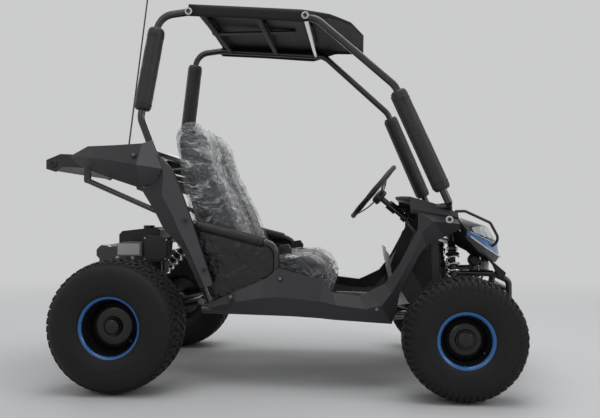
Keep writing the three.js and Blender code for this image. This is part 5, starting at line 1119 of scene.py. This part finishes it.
# Steering wheel, column and rack
GRIP_R, RIM_STEPS, SPOKE_STEPS = 0.118, 72, 6
facing = -column_axis
across = V(0.6428, 0, 0.766)


def on_wheel(x, y, z):
    return hub + across * x + AXES["y"] * y + facing * z


grip = Part()
grip.sweep([on_wheel(GRIP_R * math.cos(a), GRIP_R * math.sin(a), 0) for a in circle(RIM_STEPS)],
           [0.0092 + 0.0006 * math.cos(8 * a) for a in circle(RIM_STEPS)], "pad", 18, closed=True)
for angle in (math.pi / 3, math.pi, 5 * math.pi / 3):
    c, s = math.cos(angle), math.sin(angle)
    rows = []
    for t in (k / SPOKE_STEPS for k in range(SPOKE_STEPS + 1)):
        r = 0.018 + t * (0.112 - 0.018)
        w = 0.0135 - 0.004 * math.sin(math.pi * t)
        z = 0.024 * t * t - 0.024
        rows.append([on_wheel(r * c - w * s * q, r * s + w * c * q, z + 0.002 * (1 - abs(q)))
                     for q in (-1, -0.4, 0.4, 1)])
    low_rows = [[p - facing * 0.005 for p in row] for row in rows]
    for face in (rows, low_rows):
        grip.grid(face, "steel")
    for edge in (0, -1):
        grip.grid([[row[edge] for row in face] for face in (rows, low_rows)], "steel")
grip.lathe(on_wheel(0, 0, -0.044), on_wheel(0, 0, -0.012),
           [(0.022, 0), (0.03, 0.004), (0.03, 0.02), (0.027, 0.027), (0.018, 0.031), (0.002, 0.032)],
           "dark", 40)
grip.rod(on_wheel(0, 0, -0.03), on_wheel(0, 0, -0.16), 0.011, "steel", 28)
grip.lathe(on_wheel(0, 0, -0.14), on_wheel(0, 0, -0.163),
           [(0.013, 0), (0.017, 0.002), (0.017, 0.021), (0.0115, 0.023), (0.0115, 0.014)], "steel", 28)
grip.make("wheel_grip", "steering_wheel", "steering_wheel", sharp=40)

switch = Part()
c = hub + column_axis * 0.1
switch.block((c.x - 0.008, 0.18, c.z - 0.012), (c.x + 0.02, 0.215, c.z + 0.014), "dark")
switch.rod(V(c.x, 0.168, c.z), V(c.x, 0.182, c.z), 0.006, "dark")
switch.rod(V(c.x + 0.006, 0.198, c.z + 0.012), V(c.x - 0.002, 0.2, c.z + 0.026), 0.004, "cable")
switch.make("column_switch", "frame", bevel=0.002)

shaft_end = pinion - shaft_axis * 0.0383
low_shaft = Part()
low_shaft.lathe(joint - shaft_axis * 0.01, joint + shaft_axis * 0.01,
                [(0.001, 0), (0.006, 0.002), (0.009, 0.006), (0.01, 0.01), (0.009, 0.014), (0.008, 0.016)],
                "steel", 24)
low_shaft.rod(joint, shaft_end, 0.008, "steel")
low_shaft.rod(shaft_end - shaft_axis * 0.018, shaft_end, 0.012, "zinc")
low_shaft.make("lower_column", "lower_shaft", "lower_shaft")

BOOT = [(0.012, 0.0), (0.0185, 0.002), (0.019, 0.01), (0.0175, 0.014), (0.019, 0.018), (0.0175, 0.022),
        (0.019, 0.026), (0.0175, 0.03), (0.019, 0.034), (0.019, 0.047), (0.016, 0.048), (0.0146, 0.047),
        (0.0146, 0.0135), (0.001, 0.012)]
rack = Part().rod(V(RACK_X, -0.13, RACK_Z), V(RACK_X, 0.13, RACK_Z), 0.008, "chrome")
for y in (-1, 1):
    rack.lathe(V(RACK_X, y * 0.128, RACK_Z), V(RACK_X, y * 0.176, RACK_Z), BOOT, "cable", 32)
rack.make("rack_bar", "steering_rack", "steering_rack")

# Finish of the solids that stay
KEPT = {"floor_pan": "dark", "swing_arm": "steel", "rear_axle": "zinc", "engine": "alloy",
        "fuel_tank": "tank", "air_cleaner": "grey", "flag_mast": "mast", "throttle_pedal": "zinc",
        "brake_pedal": "zinc"}
for name, look_name in KEPT.items():
    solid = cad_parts[name]
    for slot in solid.material_slots:
        slot.material = LOOKS[look_name][0]
    if not solid.material_slots:
        solid.data.materials.append(LOOKS[look_name][0])

# Seats and their clear wraps. The outline is in shares of the seat's depth and height.
SEAT = [(0, 0), (-0.218, 0.454), (-0.308, 0.72), (-0.345, 0.923), (-0.289, 0.993), (-0.197, 1),
        (-0.118, 0.923), (-0.026, 0.72), (0.145, 0.48), (0.263, 0.277), (0.329, 0.194), (0.671, 0.207),
        (0.829, 0.199), (0.947, 0.148), (1, 0.046), (0.974, 0)]
SEAT_X, SEAT_BASE, SEAT_L, SEAT_H, SEAT_Y, SEAT_HALF = -0.195, 0.3003, 0.38, 0.542, 0.142, 0.128
PER_CORNER, EASE = 6, 0.36
SWELL_CAP, SWELL_PRESSURE, SWELL_FRAMES, VOXEL = 0.009, 4.0, 20, 0.006
ROLL_FROM, ROLL_POWER = 0.62, 2.6
SEAM_AT, BACK_FROM, BACK_TO, SEAT_TO = 0.6, 0.38, 0.66, 0.86


def rounded(points, per, hold):
    """A closed outline with its corners eased, the held ones kept sharp."""
    n = len(points)
    out = []
    for i in range(n):
        p0, p1, p2, p3 = (points[(i + k) % n] for k in (-1, 0, 1, 2))
        held, next_held = i in hold, (i + 1) % n in hold
        m1 = (p2 - p1) * 0.5 if held else (p2 - p0) * EASE
        m2 = (p2 - p1) * 0.5 if next_held else (p3 - p1) * EASE
        for t in (k / per for k in range(per)):
            if held and next_held:
                out.append(p1.lerp(p2, t))
                continue
            t2, t3 = t * t, t * t * t
            out.append(p1 * (2 * t3 - 3 * t2 + 1) + m1 * (t3 - 2 * t2 + t)
                       + p2 * (3 * t2 - 2 * t3) + m2 * (t3 - t2))
    return out


outline = rounded([V(SEAT_X + x * SEAT_L, 0, SEAT_BASE + z * SEAT_H) for x, z in SEAT], PER_CORNER,
                  (0, len(SEAT) - 1))
count = len(outline)
inward = []
for i in range(count):
    along = (outline[(i + 1) % count] - outline[i - 1]).normalized()
    inward.append(V(-along.z, 0, along.x))
middle = sum(outline, V(0, 0, 0)) / count
if sum((middle - p).dot(q) for p, q in zip(outline, inward)) < 0:
    inward = [-q for q in inward]


def seat_rows(y, shrink, shares, roll, extra=None):
    """Outlines across the seat, drawn in by shrink, by roll towards the sides, and by extra where given."""
    rows = []
    for u in shares:
        inset = shrink + roll * max(0.0, (abs(u) - ROLL_FROM) / (1 - ROLL_FROM)) ** ROLL_POWER
        row = []
        for i, (p, q) in enumerate(zip(outline, inward)):
            place = p + q * (inset + (extra(i / count, u) if extra else 0.0))
            on_base = p.z < SEAT_BASE + 1e-5
            row.append(V(place.x, y + u * SEAT_HALF, SEAT_BASE + shrink if on_base else place.z))
        rows.append(row)
    return rows


def swell(obj):
    """Blow the cushion up gently, as foam fills its cover, and keep each point near where it was."""
    bpy.context.view_layer.objects.active = obj
    even = modifier(obj, "REMESH", mode="VOXEL", voxel_size=VOXEL)
    bpy.ops.object.select_all(action="DESELECT")
    obj.select_set(True)
    bpy.ops.object.modifier_apply(modifier=even.name)
    rest = [v.co.copy() for v in obj.data.vertices]
    cloth = obj.modifiers.new("cloth", "CLOTH")
    cloth.settings.use_pressure = True
    cloth.settings.uniform_pressure_force = SWELL_PRESSURE
    cloth.settings.effector_weights.gravity = 0
    for f in range(1, SWELL_FRAMES + 1):
        scene.frame_set(f)
    bpy.ops.object.modifier_apply(modifier="cloth")
    scene.frame_set(1)
    for v, p in zip(obj.data.vertices, rest):
        move = v.co - p
        if move.length > SWELL_CAP:
            v.co = p + move.normalized() * SWELL_CAP


def groove(distance, depth, width):
    return depth * math.exp(-(distance / width) ** 2)


def sewn(obj, y):
    """Press the sewn lines into the cushion: one down each side, and several across back and seat."""
    backs = [SEAT_BASE + SEAT_H * (0.3 + 0.095 * k) for k in range(7)]
    seats = [SEAT_X + SEAT_L * (0.42 + 0.13 * k) for k in range(4)]
    for v in obj.data.vertices:
        nearest = min(range(count), key=lambda i: (outline[i].x - v.co.x) ** 2 + (outline[i].z - v.co.z) ** 2)
        s = nearest / count
        u = abs(v.co.y - y) / SEAT_HALF
        depth = groove((u - SEAM_AT) * SEAT_HALF, 0.0042, 0.0045)
        if u < SEAM_AT and BACK_FROM < s < BACK_TO:
            depth += sum(groove(v.co.z - z, 0.003, 0.006) for z in backs)
        elif u < SEAM_AT and BACK_TO < s < SEAT_TO:
            depth += sum(groove(v.co.x - x, 0.003, 0.006) for x in seats)
        v.co += inward[nearest] * depth
        v.co.z = max(v.co.z, SEAT_BASE)


cushion_rows = seat_rows(-SEAT_Y, 0.008, [1.88 * k / 14 - 0.94 for k in range(15)], 0.016)
padding = Part().grid(cushion_rows, "seat", loop=True)
padding.add(cushion_rows[0], [list(range(count))], "seat")
padding.add(cushion_rows[-1], [list(reversed(range(count)))], "seat")
cushion = padding.make("seat_cushion_right", "frame", "seat_right")
swell(cushion)
sewn(cushion, -SEAT_Y)
for v in cushion.data.vertices:
    v.co.y = min(SEAT_HALF - SEAT_Y, max(-SEAT_Y - SEAT_HALF, v.co.y))
bm = bmesh.new()
bm.from_mesh(cushion.data)
bmesh.ops.smooth_vert(bm, verts=bm.verts, factor=0.3, use_axis_x=True, use_axis_y=True, use_axis_z=True)
bm.to_mesh(cushion.data)
bm.free()
cushion.data.shade_smooth()
twin_mesh = cushion.data.copy()
twin_mesh.transform(Matrix.Scale(-1, 4, AXES["y"]))
twin_mesh.flip_normals()
twin = bpy.data.objects.new("seat_cushion_left", twin_mesh)
scene.collection.objects.link(twin)
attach(twin, "frame")
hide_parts("seat_left")
for piece in (cushion, twin):
    modifier(piece, "SUBSURF", levels=1, render_levels=1)

WRAP_LENGTH, WRAP_STEPS = 1.3, 26
for side, y in SIDES:
    def wrinkle(s, u, y=y):
        """How far the film stands off the seat, less than nothing being outward."""
        q = V(s * 16, u * 1.7 + y * 3, 0.5)
        wave = noise.noise(V(q.x + 0.6 * noise.noise(q * 1.3), q.y * 1.4, q.z))
        ripple = noise.noise(V(s * 40 + 4 * u, u * 4.5 - 5 * s, 3.1 + y))
        ridge = 1.0 - abs(noise.noise(V(s * 22 + 3.0 * u, u * 2.2, 7.7 - y))) * 2
        return -0.005 - 0.004 * wave - 0.0018 * ripple - 0.004 * max(0.0, ridge) ** 4

    stations = [2.06 * k / WRAP_STEPS - 1.03 for k in range(WRAP_STEPS + 1)]
    rows = seat_rows(y * SEAT_Y, 0.0, stations, 0.014, wrinkle)
    fine = [[q for p, after in zip(row, row[1:] + row[:1]) for q in (p, p.lerp(after, 0.5))] for row in rows]
    wrap = Part().grid(fine, "film", loop=True)
    wrap.faces = [face for face in wrap.faces if max(wrap.verts[i].z for i in face) > SEAT_BASE + 0.001]
    wrap.slots = [0] * len(wrap.faces)
    for row in (fine[0], fine[-1]):
        wrap.add(row, [list(range(len(row)))], "film")
    film = wrap.make(f"clear_wrap_{side}", "frame", sharp=180)

# Tail bar, brush guards and small parts in front
TAIL = [(-0.288, 0.496), (-0.288, 0.465), (-0.257, 0.455), (-0.236, 0.471), (-0.164, 0.468), (-0.164, 0.512),
        (-0.241, 0.516)]
TAIL_CORE = [(-0.232, 0.474), (-0.166, 0.472), (-0.166, 0.509), (-0.24, 0.512), (-0.285, 0.494),
             (-0.285, 0.467), (-0.257, 0.458)]
TAIL_HALF, CAP_HALF = 0.255, 0.2475
EYE_X, EYE_Z = gx(-0.264), gz(0.482)
tail = Part()
tail_runs = ((TAIL, -TAIL_HALF, -CAP_HALF), (TAIL_CORE, -CAP_HALF, CAP_HALF), (TAIL, CAP_HALF, TAIL_HALF))
for shares, y0, y1 in tail_runs:
    tail.side([(gx(x), gz(z)) for x, z in shares], y0, y1, "panel")
eyelet = [(0.0075, 0), (0.0125, 0), (0.0125, 0.003), (0.011, 0.0045), (0.0085, 0.0045), (0.0075, 0.002)]
for y in (-1, 1):
    start = V(EYE_X, y * (TAIL_HALF - 0.0005), EYE_Z)
    tail.lathe(start, start + AXES["y"] * y * 0.005, eyelet, "dark", 28, closed=True)
    tail.rod(start, start + AXES["y"] * y * 0.0015, 0.0078, "cable")
tail.make("tail_beam", "frame", "tail_bar", bevel=0.002)

brush = [gp((0.995, 0.318), -0.3), V(0.6, -0.29, 0.553), V(0.688, -0.235, 0.516), V(0.72, -0.19, 0.47),
         V(0.718, -0.18, 0.447), V(0.7005, -0.177, 0.438)]
pair(Part().tube(brush, 0.0045, "cable", bend=0.03, sides=12), "brush_guard", "frame")

BOTTLE_X, BOTTLE_Y = 0.694, -0.1
bottle = Part()
bottle.lathe(V(BOTTLE_X, BOTTLE_Y, 0.3585), V(BOTTLE_X, BOTTLE_Y, 0.4),
             [(0.001, 0), (0.0115, 0.0), (0.013, 0.002), (0.013, 0.024), (0.012, 0.027)], "fluid", 28)
bottle.lathe(V(BOTTLE_X, BOTTLE_Y, 0.386), V(BOTTLE_X, BOTTLE_Y, 0.406),
             [(0.0125, 0), (0.0142, 0.001), (0.0142, 0.012), (0.013, 0.0145), (0.001, 0.015)], "cable", 28)
bottle.block((0.688, -0.11, 0.35), (0.7, -0.09, 0.3585), "steel")
bottle.lathe(V(0.652, -0.15, 0.392), V(0.652, -0.1, 0.392),
             [(0.001, 0), (0.012, 0.0), (0.019, 0.006), (0.021, 0.014), (0.0165, 0.019), (0.0205, 0.024),
              (0.0155, 0.029), (0.019, 0.034), (0.013, 0.04), (0.013, 0.05)], "cable", 28)
bottle.block((0.64, -0.128, 0.356), (0.664, -0.1, 0.376), "steel")
bottle.make("bottle_and_boot", "frame", bevel=0.0008)


def add_hoses(part, bend, rows):
    """Short fixed hoses, from rows of radius and the places that each passes."""
    for r, *places in rows:
        part.tube([V(*p) for p in places], r, "cable", bend=bend, sides=10)
    return part


add_hoses(Part(), 0.04, [
    (0.0045, (0.652, -0.12, 0.385), (0.64, -0.14, 0.34), (0.61, -0.135, 0.3), (0.56, -0.125, 0.26)),
    (0.0035, (0.694, -0.1, 0.36), (0.685, -0.08, 0.32), (0.64, -0.06, 0.3), (0.52, -0.07, 0.27)),
    (0.0045, (0.48, -0.12, 0.555), (0.505, -0.13, 0.5), (0.54, -0.128, 0.44), (0.56, -0.1, 0.37),
     (0.555, -0.08, 0.3)),
    (0.0055, (0.48, 0.08, 0.555), (0.52, 0.09, 0.48), (0.56, 0.085, 0.4), (0.56, 0.06, 0.3)),
]).make("front_hoses", "frame")

# Engine, tank and air box
HOUSING = [(-0.466, 0.392), (-0.466, 0.462), (-0.456, 0.472), (-0.384, 0.466), (-0.372, 0.452),
           (-0.376, 0.398), (-0.392, 0.384), (-0.452, 0.382)]
housing = Part().side(HOUSING, -0.134, -0.176, "dark")
housing.side([(x * 0.84 - 0.067, z * 0.84 + 0.068) for x, z in HOUSING], -0.176, -0.181, "dark")
for x, z in ((-0.457, 0.463), (-0.382, 0.457), (-0.457, 0.391), (-0.386, 0.393)):
    housing.bolt(V(x, -0.1755, z), (0, -1, 0), "zinc", 0.0035, 0.0055, "cable")
housing.block((-0.436, -0.162, 0.266), (-0.404, -0.156, 0.392), "steel")
housing.sweep([V(-0.384, -0.155, 0.458), V(-0.36, -0.15, 0.474), V(-0.338, -0.135, 0.486),
               V(-0.33, -0.11, 0.5)], 0.007, "cable", 12)
housing.make("dark_housing", "swing_arm", bevel=0.0022)

cover_bolts = Part().bolt(V(-0.455, -0.1305, 0.366), (0, -1, 0), "zinc", 0.004, 0.006)
for x, z in ((-0.57, 0.34), (-0.57, 0.395), (-0.515, 0.395), (-0.46, 0.34), (-0.46, 0.395)):
    cover_bolts.bolt(V(x, -0.1302, z), (0, -1, 0), "zinc", 0.004, 0.0065)
cover_bolts.make("cover_bolts", "swing_arm")

plate = Part().block((-0.548, -0.1919, 0.407), (-0.472, -0.1903, 0.445), "pale")
plate.make("cleaner_plate", "swing_arm", bevel=0.0005)
tank_cap = Part().lathe(V(-0.498, 0, 0.468), V(-0.498, 0, 0.492), [(0.001, 0), (0.022, 0.0), (0.024, 0.002),
                                                                  (0.024, 0.01), (0.021, 0.013),
                                                                  (0.001, 0.0135)], "cable", 32)
tank_cap.make("tank_cap", "swing_arm", bevel=0.0006)

lines = add_hoses(Part(), 0.02, [
    (0.0035, (-0.56, 0.06, 0.455), (-0.61, 0.07, 0.43), (-0.615, 0.05, 0.4), (-0.59, 0.045, 0.392)),
    (0.004, (-0.535, 0.02, 0.4385), (-0.515, 0.06, 0.425), (-0.508, 0.09, 0.38), (-0.52, 0.085, 0.33)),
])
lines.rod(V(-0.526, 0.03, 0.42), V(-0.5, 0.03, 0.426), 0.0085, "cable")
lines.rod(V(-0.5275, 0.03, 0.4197), V(-0.519, 0.03, 0.4217), 0.01, "white", 12)
lines.make("plug_and_lines", "swing_arm")

bands = Part()
for y in (-0.06, 0.06):
    bands.lathe(V(-0.642, y - 0.004, 0.408), V(-0.642, y + 0.004, 0.408),
                [(0.0278, 0), (0.0296, 0.001), (0.0296, 0.007), (0.0278, 0.008)], "zinc", 36)
bands.make("muffler_bands", "swing_arm")

# Belt buckles and dash switches
BUCKLE_Y = -0.24
belt = Part()
belt.sweep([V(0.03, -0.268, 0.25), V(0.034, -0.262, 0.3), V(0.034, -0.25, 0.35), V(0.028, -0.236, 0.392)],
           0.0085, "pad", 12, flat=0.35)
belt.side([(0.004, 0.388), (0.046, 0.394), (0.052, 0.428), (0.04, 0.446), (0.012, 0.442), (0.0, 0.424)],
          BUCKLE_Y, BUCKLE_Y + 0.018, "dark")
belt.side([(0.014, 0.425), (0.036, 0.428), (0.035, 0.439), (0.015, 0.436)], BUCKLE_Y - 0.0005,
          BUCKLE_Y - 0.0021, "cable")
pair(belt, "belt_buckle", "frame", bevel=0.0014)
switches = Part().block((0.47, -0.075, 0.548), (0.496, -0.045, 0.573), "dark")
switches.rod(V(0.468, -0.06, 0.56), V(0.46, -0.06, 0.56), 0.008, "zinc")
switches.rod(V(0.47, 0.02, 0.556), V(0.46, 0.02, 0.556), 0.012, "cable")
switches.make("dash_switches", "frame", bevel=0.0015)
